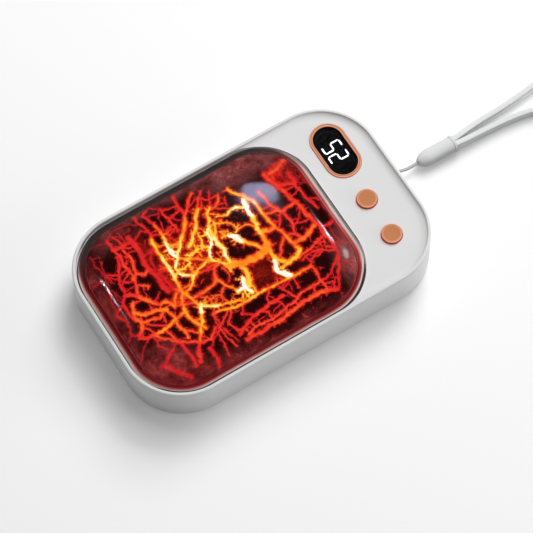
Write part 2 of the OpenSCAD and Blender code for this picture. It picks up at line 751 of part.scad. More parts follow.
front_housing();
rear_cover();
cover_screws();
clear_dome();
dome_seal();
cracked_plate();
light_tray();
lamp_board();
lamps();
lamp_ribbon();
display_ring();
display_window();
display_gasket();
display_block();
lit_digits();
power_button();
mode_button();
power_plunger();
mode_plunger();
power_switch();
mode_switch();
main_board();
board_screws();
socket_shell();
socket_tongue();
controller_chip();
charger_chip();
power_choke();
capacitor_row();
battery_plug();
battery_cell();
cell_guard();
red_lead();
black_lead();
battery_tape();
battery_pad();
heater_film();
heater_leads();
heat_spreader();
heat_sensor();
sensor_lead();
lanyard_pin();
lanyard_cord();
lanyard_sleeve();
wrist_strap();
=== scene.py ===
import math

import bmesh
import bpy
import numpy as np
from mathutils import Color, Matrix, Vector


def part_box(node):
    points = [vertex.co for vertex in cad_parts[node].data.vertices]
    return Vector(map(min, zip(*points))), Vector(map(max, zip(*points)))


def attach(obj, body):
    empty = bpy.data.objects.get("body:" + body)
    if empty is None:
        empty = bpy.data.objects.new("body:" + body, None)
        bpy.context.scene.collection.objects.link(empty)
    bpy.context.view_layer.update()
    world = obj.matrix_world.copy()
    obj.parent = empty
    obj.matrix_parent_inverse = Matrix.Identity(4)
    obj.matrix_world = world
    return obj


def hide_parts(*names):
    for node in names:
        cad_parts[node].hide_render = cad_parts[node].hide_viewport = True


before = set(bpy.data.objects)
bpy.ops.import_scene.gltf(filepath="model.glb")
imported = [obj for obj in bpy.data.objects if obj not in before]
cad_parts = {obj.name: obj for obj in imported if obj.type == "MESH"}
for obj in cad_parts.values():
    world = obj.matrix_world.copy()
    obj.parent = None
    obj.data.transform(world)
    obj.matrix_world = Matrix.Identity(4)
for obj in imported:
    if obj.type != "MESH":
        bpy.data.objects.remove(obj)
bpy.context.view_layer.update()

bl_info = {
    "name": "Hand Warmer",
    "version": (1, 0, 0),
    "blender": (4, 5, 0),
    "location": "View3D > Sidebar > Hand Warmer",
    "description": "A rechargeable hand warmer with a glowing plate under a clear window",
    "category": "Add Mesh",
}

# Shapes are worked out in millimetres and written to meshes in metres.
MM = 0.001
TURN = 2 * math.pi
QUARTER = math.pi / 2


def box_mm(node):
    """Lowest and highest corner of a CAD node, in millimetres."""
    low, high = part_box(node)
    return np.array(low) / MM, np.array(high) / MM


CASE_LOW, CASE_HIGH = box_mm("front_housing")
WINDOW_LOW, WINDOW_HIGH = box_mm("clear_dome")
RING_LOW, RING_HIGH = box_mm("display_ring")
SOCKET_LOW, SOCKET_HIGH = box_mm("socket_shell")
SCREWS_LOW, SCREWS_HIGH = box_mm("cover_screws")
PLATE_FOOT = box_mm("cracked_plate")[0][2]
PIN_TOP = box_mm("lanyard_pin")[1][2]
BUTTONS = {name: box_mm(name) for name in ("power_button", "mode_button")}
MAIN_BODY = "case"
BUTTON_BODIES = {"power_button": "power_key", "mode_button": "mode_key"}


# Settings

def length(name, text, default):
    """A length's setting, from its default in millimetres."""
    return bpy.props.FloatProperty(
        name=name, description=text, default=default * MM, min=0.0, max=0.3, unit="LENGTH", precision=5)


def colour(name, text, default):
    """A colour's setting."""
    return bpy.props.FloatVectorProperty(
        name=name, description=text, default=default, size=3, min=0, max=1, subtype="COLOR")


class CaseSizes(bpy.types.PropertyGroup):
    corner: length("Corner radius", "Corner radius of the case, seen from above", 19.3)
    wall: length("Wall", "Thickness of the side walls", 2.2)
    rim: length("Rim", "Width of the rim's flat top", 1.1)
    rim_round: length("Rim rounding", "Rounding of the rim's outer edge", 0.5)
    foot_round: length("Foot rounding", "Rounding of the lower edge", 1.6)
    panel_drop: length("Panel drop", "Depth of the control panel below the rim", 1.1)
    panel: length("Panel", "Thickness of the control panel", 1.9)
    cove: length("Cove", "Width of the cove between rim and panel", 2.65)
    ledge: length("Ledge", "Width of the ledge that carries the window", 4.9)
    seat_drop: length("Seat drop", "Depth of the window's seat below the panel", 1.0)


class WindowSizes(bpy.types.PropertyGroup):
    flange: length("Flange", "Width of the flat flange", 1.3)
    shoulder: length("Shoulder", "Width of the rounded shoulder", 13)
    rise: length("Rise", "Height of the dome above its flange", 4.4)
    crown: length("Crown", "Further rise of the dome's middle", 0.5)
    skin: length("Skin", "Thickness of the dome", 1.3)
    plate_gap: length("Plate gap", "Gap between the dome and the cracked plate", 0.4)
    plate: length("Plate", "Thickness of the cracked plate", 1.4)
    edge_round: length("Edge rounding", "Rounding of the flange's outer edge", 0.35)


class LanyardSizes(bpy.types.PropertyGroup):
    cord: length("Cord", "Diameter of the thin cord", 1.1)
    strap_width: length("Strap width", "Width of the wrist strap", 3.5)
    strap: length("Strap", "Thickness of the wrist strap", 1.7)
    sleeve: length("Sleeve", "Diameter of the sleeve", 5.6)
    sleeve_length: length("Sleeve length", "Length of the sleeve", 13.8)
    nose: length("Nose", "Length of the sleeve's rounded nose", 4.4)


class WarmerColours(bpy.types.PropertyGroup):
    shell: colour("Shell", "Moulded housing", (0.74, 0.74, 0.74))
    copper: colour("Copper", "Flat tops of the ring and the buttons", (0.55, 0.215, 0.09))
    # Painted light on the copper: a highlight colour for the bevels and a red reflection colour for the
    # upright edges
    copper_bevel_highlight: colour("Copper bevel", "Bevels of the ring and the buttons", (0.86, 0.45, 0.3))
    copper_edge_reflection: colour("Copper edge", "Upright edges of the ring and the buttons", (0.85, 0.16, 0.10))
    strap: colour("Strap", "Wrist strap and cord", (0.86, 0.86, 0.865))
    sleeve: colour("Sleeve", "Sleeve of the lanyard", (0.72, 0.72, 0.725))
    crust: colour("Crust", "Dark crust between the cracks", (0.010, 0.0012, 0.001))


# Colours that have no setting, most of them of inner pieces
PALETTE = {
    "steel": (0.62, 0.62, 0.64),
    "board": (0.02, 0.11, 0.06),
    "chip": (0.02, 0.02, 0.022),
    "ferrite": (0.05, 0.05, 0.052),
    "ceramic": (0.42, 0.28, 0.14),
    "ivory": (0.72, 0.69, 0.6),
    "foam": (0.045, 0.045, 0.05),
    "tape": (0.66, 0.62, 0.42),
    "pouch": (0.42, 0.48, 0.56),
    "kapton": (0.48, 0.2, 0.03),
    "red": (0.42, 0.02, 0.015),
    "black": (0.012, 0.012, 0.013),
    "white": (0.8, 0.8, 0.8),
    "amber": (0.85, 0.55, 0.12),
    "milk": (0.86, 0.85, 0.82),
    "chalk": (0.7, 0.7, 0.68),
    "smoke": (0.2, 0.2, 0.21),
    "soot": (0.002, 0.002, 0.002),
    "aluminium": (0.78, 0.78, 0.79),
    "resin": (0.1, 0.04, 0.015),
    "clear": (1.0, 1.0, 1.0),
    "pad": (0.75, 0.7, 0.55),
}


# Shader maths

class Value:
    """A socket that takes part in sums: each operation adds its Math node."""

    def __init__(self, shader, node, output=0):
        self.shader = shader
        self.node = node
        self.socket = node.outputs[output] if node.outputs else None

    def out(self, output):
        return Value(self.shader, self.node, output)

    def maths(self, operation, first, second=0.0):
        return self.shader.node("Math", {"operation": operation}, {0: first, 1: second})

    def __add__(self, other):
        return self.maths("ADD", self, other)

    def __radd__(self, other):
        return self.maths("ADD", other, self)

    def __sub__(self, other):
        return self.maths("SUBTRACT", self, other)

    def __rsub__(self, other):
        return self.maths("SUBTRACT", other, self)

    def __mul__(self, other):
        return self.maths("MULTIPLY", self, other)

    def __pow__(self, other):
        return self.maths("POWER", self, other)

    def __abs__(self):
        return self.maths("ABSOLUTE", self)

    def sine(self):
        return self.maths("SINE", self)

    def most(self, other):
        return self.maths("MAXIMUM", self, other)

    def least(self, other):
        return self.maths("MINIMUM", self, other)

    def between(self, low, high, start=0.0, end=1.0):
        """A smooth step from start, at low, to end, at high."""
        settings = {"interpolation_type": "SMOOTHSTEP"}
        sockets = {"Value": self, "From Min": low, "From Max": high, "To Min": start, "To Max": end}
        return self.shader.node("MapRange", settings, sockets)


class Shader:
    """The nodes of one material, or of the world when that is handed in."""

    def __init__(self, name, owner=None):
        self.owner = owner or bpy.data.materials.new(name)
        self.owner.use_nodes = True
        self.tree = self.owner.node_tree
        self.tree.nodes.clear()

    def node(self, kind, settings=None, sockets=None, output=0):
        made = self.tree.nodes.new("ShaderNode" + kind)
        for key, value in (settings or {}).items():
            if key == "stops":
                stops = made.color_ramp.elements
                stops[0].position, stops[1].position = value[0][0], value[-1][0]
                stops[0].color, stops[1].color = opaque(value[0][1]), opaque(value[-1][1])
                for place, rgb in value[1:-1]:
                    stops.new(place).color = opaque(rgb)
            else:
                setattr(made, key, value)
        for key, value in (sockets or {}).items():
            if isinstance(value, Value):
                self.tree.links.new(value.socket, made.inputs[key])
            elif value is not None:
                made.inputs[key].default_value = value
        return Value(self, made, output)

    def place(self):
        """The place on the piece, in metres."""
        return self.node("TexCoord").out("Object")

    def axes(self, vector):
        """The three parts of a vector."""
        parts = self.node("SeparateXYZ", {}, {"Vector": vector})
        return parts.out("X"), parts.out("Y"), parts.out("Z")

    def stretched(self, scale):
        return self.node("Mapping", {}, {"Vector": self.place(), "Scale": scale})

    def seen(self):
        """1 for what the camera, reflections and clear pieces see, 0 for light on surfaces."""
        path = self.node("LightPath")
        seen = path.out("Is Camera Ray").most(path.out("Is Glossy Ray"))
        return seen.most(path.out("Is Transmission Ray"))

    def upright(self):
        """How far the surface faces up."""
        return self.axes(self.node("NewGeometry").out("Normal"))[2]

    def attribute(self, name):
        return self.node("Attribute", {"attribute_name": name}).out("Fac")

    def noise(self, scale, detail=3.0, vector=None, roughness=0.5):
        """Smooth noise from 0 to 1; its scale is in lumps per metre."""
        return self.node("TexNoise", {}, {
            "Vector": vector or self.place(), "Scale": scale, "Detail": detail, "Roughness": roughness})

    def ramp(self, factor, stops):
        return self.node("ValToRGB", {"stops": stops}, {"Fac": factor})

    def mix(self, factor, first, second):
        """From the first colour, where the factor is 0, to the second."""
        sockets = {0: factor, 6: opaque(first), 7: opaque(second)}
        return self.node("Mix", {"data_type": "RGBA"}, sockets, output=2)

    def bump(self, height, distance):
        return self.node("Bump", {}, {"Height": height, "Distance": distance, "Strength": 1.0})

    def finish(self, **sockets):
        """The material with its Principled surface; underscores in a socket's name stand for spaces."""
        named = {key.replace("_", " "): opaque(value) for key, value in sockets.items()}
        surface = self.node("BsdfPrincipled", {}, named)
        self.node("OutputMaterial", {}, {"Surface": surface})
        return self.owner


def opaque(value):
    """A colour with its alpha; anything else as it is."""
    return (*value, 1.0) if isinstance(value, (tuple, Color)) and len(value) == 3 else value


def tinted(rgb, factor):
    """A colour made lighter or darker."""
    return tuple(min(1.0, part * factor) for part in rgb)


# Materials

def moulded(name, rgb, rough=0.42, grain=0.00001, clouds=0.03, flank_shade=1.0):
    """Moulded plastic: a fine spark-eroded grain, faint clouds of colour, and, when flank shade is given,
    painted shade on the upright flanks.
    """
    s = Shader(name)
    cloud = s.noise(55.0, 2.0)
    texture = s.noise(2600.0, 2.0)
    uneven = 0.04
    base = s.mix(cloud, tinted(rgb, 1 - clouds), tinted(rgb, 1 + clouds))
    # Painted shade: faces that stand upright are darker than those that face up
    if flank_shade < 1.0:
        base = s.mix(s.upright().between(0.25, 0.9), tinted(rgb, flank_shade), base)
    return s.finish(
        Base_Color=base, Roughness=cloud.between(0.2, 0.8, rough - uneven, rough + uneven),
        Normal=s.bump(texture, grain))


def clear_plastic(name, rgb, ior, rough, shine):
    """Clear plastic with faint handling marks; shine scales its reflections seen straight on."""
    s = Shader(name)
    marks = s.noise(900.0, 3.0, s.stretched((1.0, 0.25, 1.0)))
    # Share of the light that gets through on its way to what lies below
    let_through = 0.92
    shadow = s.node("LightPath").out("Is Shadow Ray")
    return s.finish(
        Alpha=1 - shadow * let_through,
        Base_Color=rgb, Roughness=marks.between(0.55, 0.8, rough, rough + 0.02),
        IOR=ior, Transmission_Weight=1.0, Specular_Tint=(shine, shine, shine))


def copper_trim(colours):
    """Satin metal of the ring and the caps, with a painted highlight on the bevels and a painted red
    reflection down the sides.
    """
    s = Shader("copper_trim")
    brush = s.noise(1500.0, 3.0, s.stretched((1.0, 0.12, 1.0)))
    cloud = s.noise(180.0, 2.0)
    tilt = s.upright()
    base = s.mix(cloud, tinted(colours.copper, 0.93), tinted(colours.copper, 1.06))
    # Painted highlight on the bevels, painted red reflection down the upright sides
    base = s.mix(tilt.between(0.9, 0.985), colours.copper_bevel_highlight, base)
    base = s.mix(tilt.between(0.4, 0.8), colours.copper_edge_reflection, base)
    return s.finish(
        Base_Color=base, Metallic=0.9, Roughness=brush.between(0.3, 0.7, 0.34, 0.44),
        Normal=s.bump(brush, 0.000004))


def window_adhesive():
    """Adhesive under the window: pale under the flange, with the plate's red light painted on in dark red
    and glow where it reaches it.

    A dark line of painted shade from the gap runs along its outer edge, and the -X side carries painted
    shade. All lengths here are in millimetres."""
    s = Shader("window_adhesive")
    x, y, _ = (part * (1 / MM) for part in s.axes(s.place()))
    half, y0, y1, radius = WINDOW_HIGH[0], WINDOW_LOW[1], WINDOW_HIGH[1], window_radius(0.0)
    over_x = abs(x) - (half - radius)
    over_y = abs(y - (y0 + y1) / 2) - ((y1 - y0) / 2 - radius)
    outside = (over_x.most(0.0) ** 2.0 + over_y.most(0.0) ** 2.0) ** 0.5
    inset = radius - outside - over_x.most(over_y).least(0.0)
    smear = s.noise(160.0, 3.0)

    # Painted shade: the -X side stays dark grey; elsewhere a pale band comes before the red one of painted
    # light
    lit_side = x.between(-29.0, -12.0)
    pale_width, pale_wander = 1.15, 0.5
    past_pale = inset - (lit_side * pale_width + (smear - 0.5) * pale_wander)
    red, deep = past_pale.between(-0.1, 0.7), past_pale.between(0.2, 1.5)
    # The plate's red light painted on: a wine base colour and a red glow, both weaker on the -X side
    wine = s.mix(deep, (0.3, 0.06, 0.06), (0.12, 0.008, 0.012))
    wine = s.mix(lit_side, (0.05, 0.038, 0.035), wine)
    light = s.mix(deep, (0.2, 0.02, 0.02), (0.06, 0.003, 0.005))
    light = s.mix(lit_side, (0.004, 0.003, 0.003), light)

    # Painted shade in the gap: the seat's wall hides the outer edge along +X, and the line is thin and pale
    # at the +Y end
    hidden = x.between(20.0, 26.0) * 0.42
    far_end = (y - y1).between(-3.0, -0.6)
    line = (inset - hidden + far_end * 0.25).between(0.55, 0.42)
    gap_shade = s.mix(far_end, (0.07, 0.055, 0.06), (0.3, 0.26, 0.26))
    pale = s.mix(line, (0.72, 0.66, 0.62), gap_shade)
    return s.finish(
        Base_Color=s.mix(red, pale, wine), Roughness=smear.between(0.3, 0.7, 0.4, 0.55),
        Emission_Color=s.mix(red, (0.0, 0.0, 0.0), light), Emission_Strength=1.0)


def glowing_crackle(crust):
    """Cracks that glow through a dark crust. The plate's own fields say where and how hot they are."""
    s = Shader("glowing_crackle")
    gap, heat, hair, veil, tone, bath = (
        s.attribute(name) for name in ("gap", "ember", "hair", "veil", "tone", "bath"))
    fine = s.noise(1300.0, 4.0, roughness=0.6)
    coarse = s.noise(230.0, 3.0)

    # Finer cracks between those laid out, and short spurs along them, all in millimetres
    sway = 2.2 * MM
    drift = s.noise(380.0, 4.0).out("Color")
    bent = s.node("VectorMath", {"operation": "MULTIPLY_ADD"}, {0: drift, 1: (sway,) * 3, 2: s.place()})
    cells = {"feature": "DISTANCE_TO_EDGE", "voronoi_dimensions": "2D"}
    thin, spur = (
        s.node("TexVoronoi", cells, {"Vector": bent, "Scale": scale}) * (1 / MM / scale)
        for scale in (215.0, 640.0))
    thin = thin - coarse.between(0.42, 0.68, -0.2, 0.2) * hair
    spur = spur - (0.13 - gap * 0.2)
    ragged = gap.least(thin.least(spur)) + (fine - 0.5) * 0.42
    inside = ragged.between(0.02, -0.03)
    core = ragged.between(-0.05, -0.5)

    # Side cracks are cooler than the laid ones
    warm = heat - (gap - 0.1).between(0.0, 0.8, 0.0, 0.2)
    flow = warm + (coarse - 0.5) * 0.22 + core * 0.12 - 0.03
    crack = s.ramp(flow, [
        (0.0, (0.12, 0.006, 0.008)), (0.18, (0.36, 0.010, 0.014)), (0.32, (0.70, 0.016, 0.018)),
        (0.46, (0.8, 0.034, 0.021)), (0.58, (0.92, 0.1, 0.015)), (0.7, (1.0, 0.28, 0.014)),
        (0.8, (1.0, 0.52, 0.035)), (0.9, (1.0, 0.75, 0.14)), (1.0, (1.0, 0.95, 0.8))])

    # The crust round a crack reddens, and so do the cells where the plate is bathed in light
    halo = (gap.between(1.5, 0.0) ** 2.0) * heat.between(0.1, 0.8, 0.08, 1.0)
    reddened = halo * (0.4 + fine * 1.1) + bath * (fine * 1.5 + coarse * 1.2 - 0.65)
    ember = s.ramp(reddened, [
        (0.0, crust), (0.2, (0.026, 0.002, 0.002)), (0.5, (0.11, 0.004, 0.003)),
        (0.8, (0.3, 0.010, 0.005)), (1.0, (0.55, 0.016, 0.008))])
    glow = s.mix(inside, ember, crack)

    # Painted milky light over the border, mottled, as the dome's shoulders show it
    mottle = (s.noise(170.0, 7.0, roughness=0.76) - 0.5) * 1.3
    blotch = mottle + 0.5 + (fine - 0.5) * 0.3
    wine = s.ramp(blotch, [
        (0.3, (0.05, 0.004, 0.005)), (0.48, (0.2, 0.017, 0.019)), (0.62, (0.37, 0.042, 0.040)),
        (0.78, (0.52, 0.12, 0.11))])
    mauve = s.ramp(blotch, [
        (0.3, (0.13, 0.022, 0.022)), (0.5, (0.27, 0.062, 0.062)), (0.72, (0.44, 0.14, 0.135))])
    milk = veil * (0.3 + coarse * 0.85) * (1.0 - inside * 0.55)
    glow = s.mix(milk, glow, s.mix(tone, wine, mauve))
    return s.finish(
        Base_Color=tinted(crust, 0.4), Roughness=fine.between(0.3, 0.7, 0.5, 0.8),
        Emission_Color=glow, Emission_Strength=1.0, Specular_IOR_Level=0.0)


def lit(name, rgb, strength):
    """A lit face, a little uneven."""
    s = Shader(name)
    cloud = s.noise(700.0, 2.0)
    return s.finish(
        Base_Color=rgb, Roughness=0.4, Emission_Color=s.mix(cloud, tinted(rgb, 0.94), rgb),
        Emission_Strength=strength)


def woven_strap(rgb, width, girth):
    """Woven tape: lengthwise ribs crossed by the weft, from the piece's own measures.

    Its sides carry painted shade on the face that looks out of the loop and painted light on the face inside
    it."""
    s = Shader("woven_strap")
    along = s.attribute("along")
    across = s.attribute("across")
    ribs, pick = 7, 0.55 * MM
    warp = (across * (TURN / (width / ribs))).sine()
    weft = (along * (TURN / pick)).sine()
    lint = s.noise(1400.0, 3.0)
    height = warp * 0.5 + weft * warp * 0.35 + lint * 0.3
    base = s.mix(height.between(-0.6, 0.9), tinted(rgb, 0.86), tinted(rgb, 1.03))
    # Painted shade and light on the upright sides: darker outside the loop, lighter inside it
    inner = (across * (TURN / girth) + QUARTER).sine().between(-0.2, 0.3)
    faces = s.mix(inner, tinted(rgb, 0.7), tinted(rgb, 1.1))
    base = s.mix(s.upright().between(0.1, 0.8), faces, base)
    return s.finish(
        Base_Color=base, Roughness=lint.between(0.3, 0.7, 0.7, 0.85), Sheen_Weight=0.3,
        Sheen_Roughness=0.4, Normal=s.bump(height, 0.00006))


def braided_cord(rgb):
    """A thin braid: two sets of strands that cross."""
    s = Shader("braided_cord")
    lay, spacing = 1.3 * MM, 0.85 * MM
    along = s.attribute("along") * (TURN / lay)
    around = s.attribute("across") * (TURN / spacing)
    strands = (along + around).sine().most((along - around).sine())
    base = s.mix(strands.between(-0.5, 1.0), tinted(rgb, 0.6), tinted(rgb, 1.05))
    return s.finish(
        Base_Color=base, Roughness=strands.between(-1.0, 1.0, 0.85, 0.7), Sheen_Weight=0.2,
        Normal=s.bump(strands, 0.00005))


def metal(name, rgb, rough=0.3):
    """Plated or rolled metal with a drawn grain."""
    s = Shader(name)
    grain = s.noise(1200.0, 3.0, s.stretched((0.15, 1.0, 1.0)))
    base = s.mix(grain, tinted(rgb, 0.9), tinted(rgb, 1.08))
    return s.finish(
        Base_Color=base, Metallic=1.0, Roughness=grain.between(0.3, 0.7, rough - 0.06, rough + 0.08),
        Normal=s.bump(grain, 0.000005))


def circuit_board(name, rgb):
    """Solder mask with copper traces under it and a few bare pads."""
    s = Shader(name)
    cells = s.node("TexVoronoi", {"distance": "CHEBYCHEV"}, {"Vector": s.place(), "Scale": 420.0})
    trace = cells.between(0.34, 0.36) * cells.between(0.44, 0.42)
    pad = cells.between(0.09, 0.08)
    base = s.mix(trace, rgb, tinted(rgb, 1.9))
    base = s.mix(pad, base, PALETTE["pad"])
    return s.finish(
        Base_Color=base, Roughness=pad.between(0.0, 1.0, 0.32, 0.2), Metallic=pad,
        Normal=s.bump(trace, 0.00002))


def heater_foil(name, rgb):
    """Amber film with the heater's wandering track in it."""
    s = Shader(name)
    bands = s.node("TexWave", {"bands_direction": "Y"}, {
        "Vector": s.place(), "Scale": 60.0, "Distortion": 1.5, "Detail Scale": 8.0})
    base = s.mix(bands.between(0.45, 0.55), rgb, tinted(rgb, 0.45))
    return s.finish(
        Base_Color=base, Roughness=bands.between(0.0, 1.0, 0.25, 0.4),
        Normal=s.bump(bands, 0.00002))


def cell_pouch(rgb):
    """Aluminium pouch, slightly dimpled by its layers."""
    s = Shader("cell_pouch")
    dimples = s.noise(160.0, 3.0)
    return s.finish(
        Base_Color=s.mix(dimples, tinted(rgb, 0.85), tinted(rgb, 1.15)), Metallic=0.8,
        Roughness=dimples.between(0.3, 0.7, 0.32, 0.46), Normal=s.bump(dimples, 0.00015))


def foam(name, rgb):
    """Open-cell foam."""
    s = Shader(name)
    cells = s.node("TexVoronoi", {}, {"Vector": s.place(), "Scale": 1500.0})
    return s.finish(
        Base_Color=s.mix(cells, tinted(rgb, 0.6), tinted(rgb, 1.6)),
        Roughness=cells.between(0.0, 0.8, 0.95, 0.8), Normal=s.bump(cells, 0.0002))


# Mesh code

def shade_smooth(mesh, sharp):
    """Smooth shading, with sharp edges above an angle in degrees."""
    mesh.shade_smooth()
    mesh.set_sharp_from_angle(angle=math.radians(sharp))


def mesh_object(name, points, faces, material, sharp=30.0):
    """A smooth-shaded mesh at the origin, from points in millimetres."""
    mesh = bpy.data.meshes.new(name)
    mesh.from_pydata((np.asarray(points, float) * MM).tolist(), [], [list(f) for f in faces])
    mesh.validate()
    mesh.materials.append(material)
    shade_smooth(mesh, sharp)
    made = bpy.data.objects.new(name, mesh)
    bpy.context.scene.collection.objects.link(made)
    return made


def apply_modifiers(made):
    """Applies the object's modifiers to a plain mesh."""
    shown = made.evaluated_get(bpy.context.evaluated_depsgraph_get())
    mesh = bpy.data.meshes.new_from_object(shown)
    mesh.name = made.name
    made.modifiers.clear()
    made.data = mesh


def cut_or_join(made, tool, operation="DIFFERENCE"):
    """Cuts a solid from the object, or joins one to it, and removes that solid."""
    modifier = made.modifiers.new("cut", "BOOLEAN")
    modifier.operation = operation
    modifier.solver = "EXACT"
    modifier.object = tool
    apply_modifiers(made)
    bpy.data.objects.remove(tool)


def grid_faces(rows, count, closed_rows=False):
    """Quads between rings that each have count points, wrapping round the rings."""
    last = rows if closed_rows else rows - 1
    return [
        (j * count + i, j * count + (i + 1) % count,
         (j + 1) % rows * count + (i + 1) % count, (j + 1) % rows * count + i)
        for j in range(last) for i in range(count)]


def hoop(rings):
    """Points and faces of a skin through rings that closes on itself."""
    return np.concatenate(rings), grid_faces(len(rings), len(rings[0]), closed_rows=True)


def lofted(name, rings, material, sharp=30.0):
    """A skin through rings, with a flat face over the first and the last."""
    count = len(rings[0])
    last = (len(rings) - 1) * count
    faces = grid_faces(len(rings), count)
    faces += [tuple(range(count - 1, -1, -1)), tuple(range(last, last + count))]
    return mesh_object(name, np.concatenate(rings), faces, material, sharp)


def arc(x, z, radius, start, end, steps):
    """Points of a section on an arc, from start to end in degrees."""
    turns = np.radians(np.linspace(start, end, steps + 1))
    return [(x + radius * math.cos(a), z + radius * math.sin(a)) for a in turns]


def rounded_outline(half, y0, y1, radius, steps):
    """A rounded rectangle's outline, anticlockwise from the +X side of the +Y corner."""
    turns = np.linspace(0.0, QUARTER, steps + 1)
    places = []
    for quarter, (sx, sy) in enumerate(((1, 1), (-1, 1), (-1, -1), (1, -1))):
        centre = (sx * (half - radius), y1 - radius if sy > 0 else y0 + radius)
        for a in turns + quarter * QUARTER:
            places.append((centre[0] + radius * math.cos(a), centre[1] + radius * math.sin(a)))
    return np.array(places)


def at_height(outline, z):
    """A flat outline as a ring at a height."""
    return np.column_stack([outline, np.full(len(outline), z)])


def pill_outline(centre, long, wide, steps):
    """A pill's outline, long along X, anticlockwise."""
    radius = wide / 2
    turns = np.linspace(-QUARTER, QUARTER, steps + 1)
    right = [(long / 2 - radius + radius * math.cos(a), radius * math.sin(a)) for a in turns]
    left = [(-x, -y) for x, y in right]
    return np.array(right + left) + centre


def circle_outline(centre, radius, steps):
    turns = np.linspace(0.0, TURN, steps, endpoint=False)
    return np.column_stack([centre[0] + radius * np.cos(turns), centre[1] + radius * np.sin(turns)])


def lathe(name, centre, profile, material, steps=64):
    """A solid of revolution round +Z from radii and heights; the profile starts and ends off the axis."""
    rings = [at_height(circle_outline(centre, r, steps), z) for r, z in profile]
    return lofted(name, rings, material)


def rides(piece, node, body=MAIN_BODY):
    """The piece stands for a CAD node, which it hides, and rides on its body."""
    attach(piece, body)
    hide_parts(node)
    return piece


# Geometry Nodes

class Field:
    """The nodes of one geometry tree, with named inputs."""

    def __init__(self, name, inputs):
        self.tree = bpy.data.node_groups.new(name, "GeometryNodeTree")
        self.tree.interface.new_socket("Geometry", in_out="INPUT", socket_type="NodeSocketGeometry")
        self.tree.interface.new_socket("Geometry", in_out="OUTPUT", socket_type="NodeSocketGeometry")
        for label, kind in inputs.items():
            self.tree.interface.new_socket(label, in_out="INPUT", socket_type="NodeSocket" + kind)
        self.given = self.tree.nodes.new("NodeGroupInput")
        self.result = self.tree.nodes.new("NodeGroupOutput")

    def node(self, kind, settings=None, sockets=None):
        made = self.tree.nodes.new(kind)
        for key, value in (settings or {}).items():
            setattr(made, key, value)
        for key, value in (sockets or {}).items():
            if isinstance(value, bpy.types.NodeSocket):
                self.tree.links.new(value, made.inputs[key])
            else:
                made.inputs[key].default_value = value
        return made

    def end(self, geometry):
        """Realizes what the tree made, gives it its material and ends the tree."""
        real = self.node("GeometryNodeRealizeInstances", {}, {"Geometry": geometry})
        painted = self.node("GeometryNodeSetMaterial", {}, {
            "Geometry": real.outputs[0], "Material": self.given.outputs["Material"]})
        self.tree.links.new(painted.outputs[0], self.result.inputs[0])
        return self.tree


def run_tree(made, tree, **values):
    """Runs a geometry tree on an object and keeps the result as a plain mesh."""
    modifier = made.modifiers.new("tree", "NODES")
    modifier.node_group = tree
    for item in tree.interface.items_tree:
        if item.in_out == "INPUT" and item.name in values:
            modifier[item.identifier] = values[item.name]
    apply_modifiers(made)
    shade_smooth(made.data, 40.0)


def sweep_tree():
    """A tree that sweeps a section along a line and notes how far along and across each point is."""
    field = Field("sweep", {"Profile": "Object", "Material": "Material"})
    line = field.node("GeometryNodeMeshToCurve", {}, {"Mesh": field.given.outputs["Geometry"]})
    upright = field.node("GeometryNodeSetCurveNormal", {"mode": "Z_UP"}, {"Curve": line.outputs[0]})
    given = field.node("GeometryNodeObjectInfo", {}, {"Object": field.given.outputs["Profile"]})
    outline = field.node("GeometryNodeMeshToCurve", {}, {"Mesh": given.outputs["Geometry"]})
    on_points = {"data_type": "FLOAT", "domain": "POINT"}
    noted = []
    for name, curve in (("along", upright), ("across", outline)):
        reached = field.node("GeometryNodeSplineParameter")
        noted.append(field.node("GeometryNodeStoreNamedAttribute", on_points, {
            "Geometry": curve.outputs[0], "Name": name, "Value": reached.outputs["Length"]}))
    swept = field.node("GeometryNodeCurveToMesh", {}, {
        "Curve": noted[0].outputs[0], "Profile Curve": noted[1].outputs[0], "Fill Caps": True})
    return field.end(swept.outputs[0])


def scatter_tree():
    """A tree that stands one object on every point."""
    field = Field("scatter", {"Piece": "Object", "Material": "Material"})
    given = field.node("GeometryNodeObjectInfo", {}, {"Object": field.given.outputs["Piece"]})
    stood = field.node("GeometryNodeInstanceOnPoints", {}, {
        "Points": field.given.outputs["Geometry"], "Instance": given.outputs["Geometry"]})
    return field.end(stood.outputs[0])


# Camera

class WARMER_OT_camera(bpy.types.Operator):
    """Puts the camera at the photograph's view"""

    bl_idname = "warmer.camera"
    bl_label = "Camera"

    AZIMUTH = 59.084
    ELEVATION = 64.925
    ROLL = -0.885
    DISTANCE = 840.0
    ASIDE = (4.036, 0.921)
    FORWARD = 0.3
    SENSOR = 36.0
    LENS = 182.49

    def execute(self, context):
        azimuth, elevation, roll = (math.radians(a) for a in (self.AZIMUTH, self.ELEVATION, self.ROLL))
        back = Vector((
            math.sin(azimuth) * math.cos(elevation), -math.cos(azimuth) * math.cos(elevation),
            math.sin(elevation)))
        level = Vector((0.0, 0.0, 1.0)).cross(back).normalized()
        upright = back.cross(level)
        right = level * math.cos(roll) + upright * math.sin(roll)
        up = upright * math.cos(roll) - level * math.sin(roll)
        eye = back * self.DISTANCE + right * self.ASIDE[0] + up * self.ASIDE[1]
        eye.y += self.FORWARD
        data = bpy.data.cameras.new("camera")
        data.sensor_width = self.SENSOR
        data.lens = self.LENS
        data.clip_start = 0.05
        data.clip_end = 20.0
        camera = bpy.data.objects.new("camera", data)
        turned = Matrix((right, up, back)).transposed().to_4x4()
        camera.matrix_world = Matrix.Translation(eye * MM) @ turned
        context.scene.collection.objects.link(camera)
        context.scene.camera = camera
        return {"FINISHED"}


# Lanyard

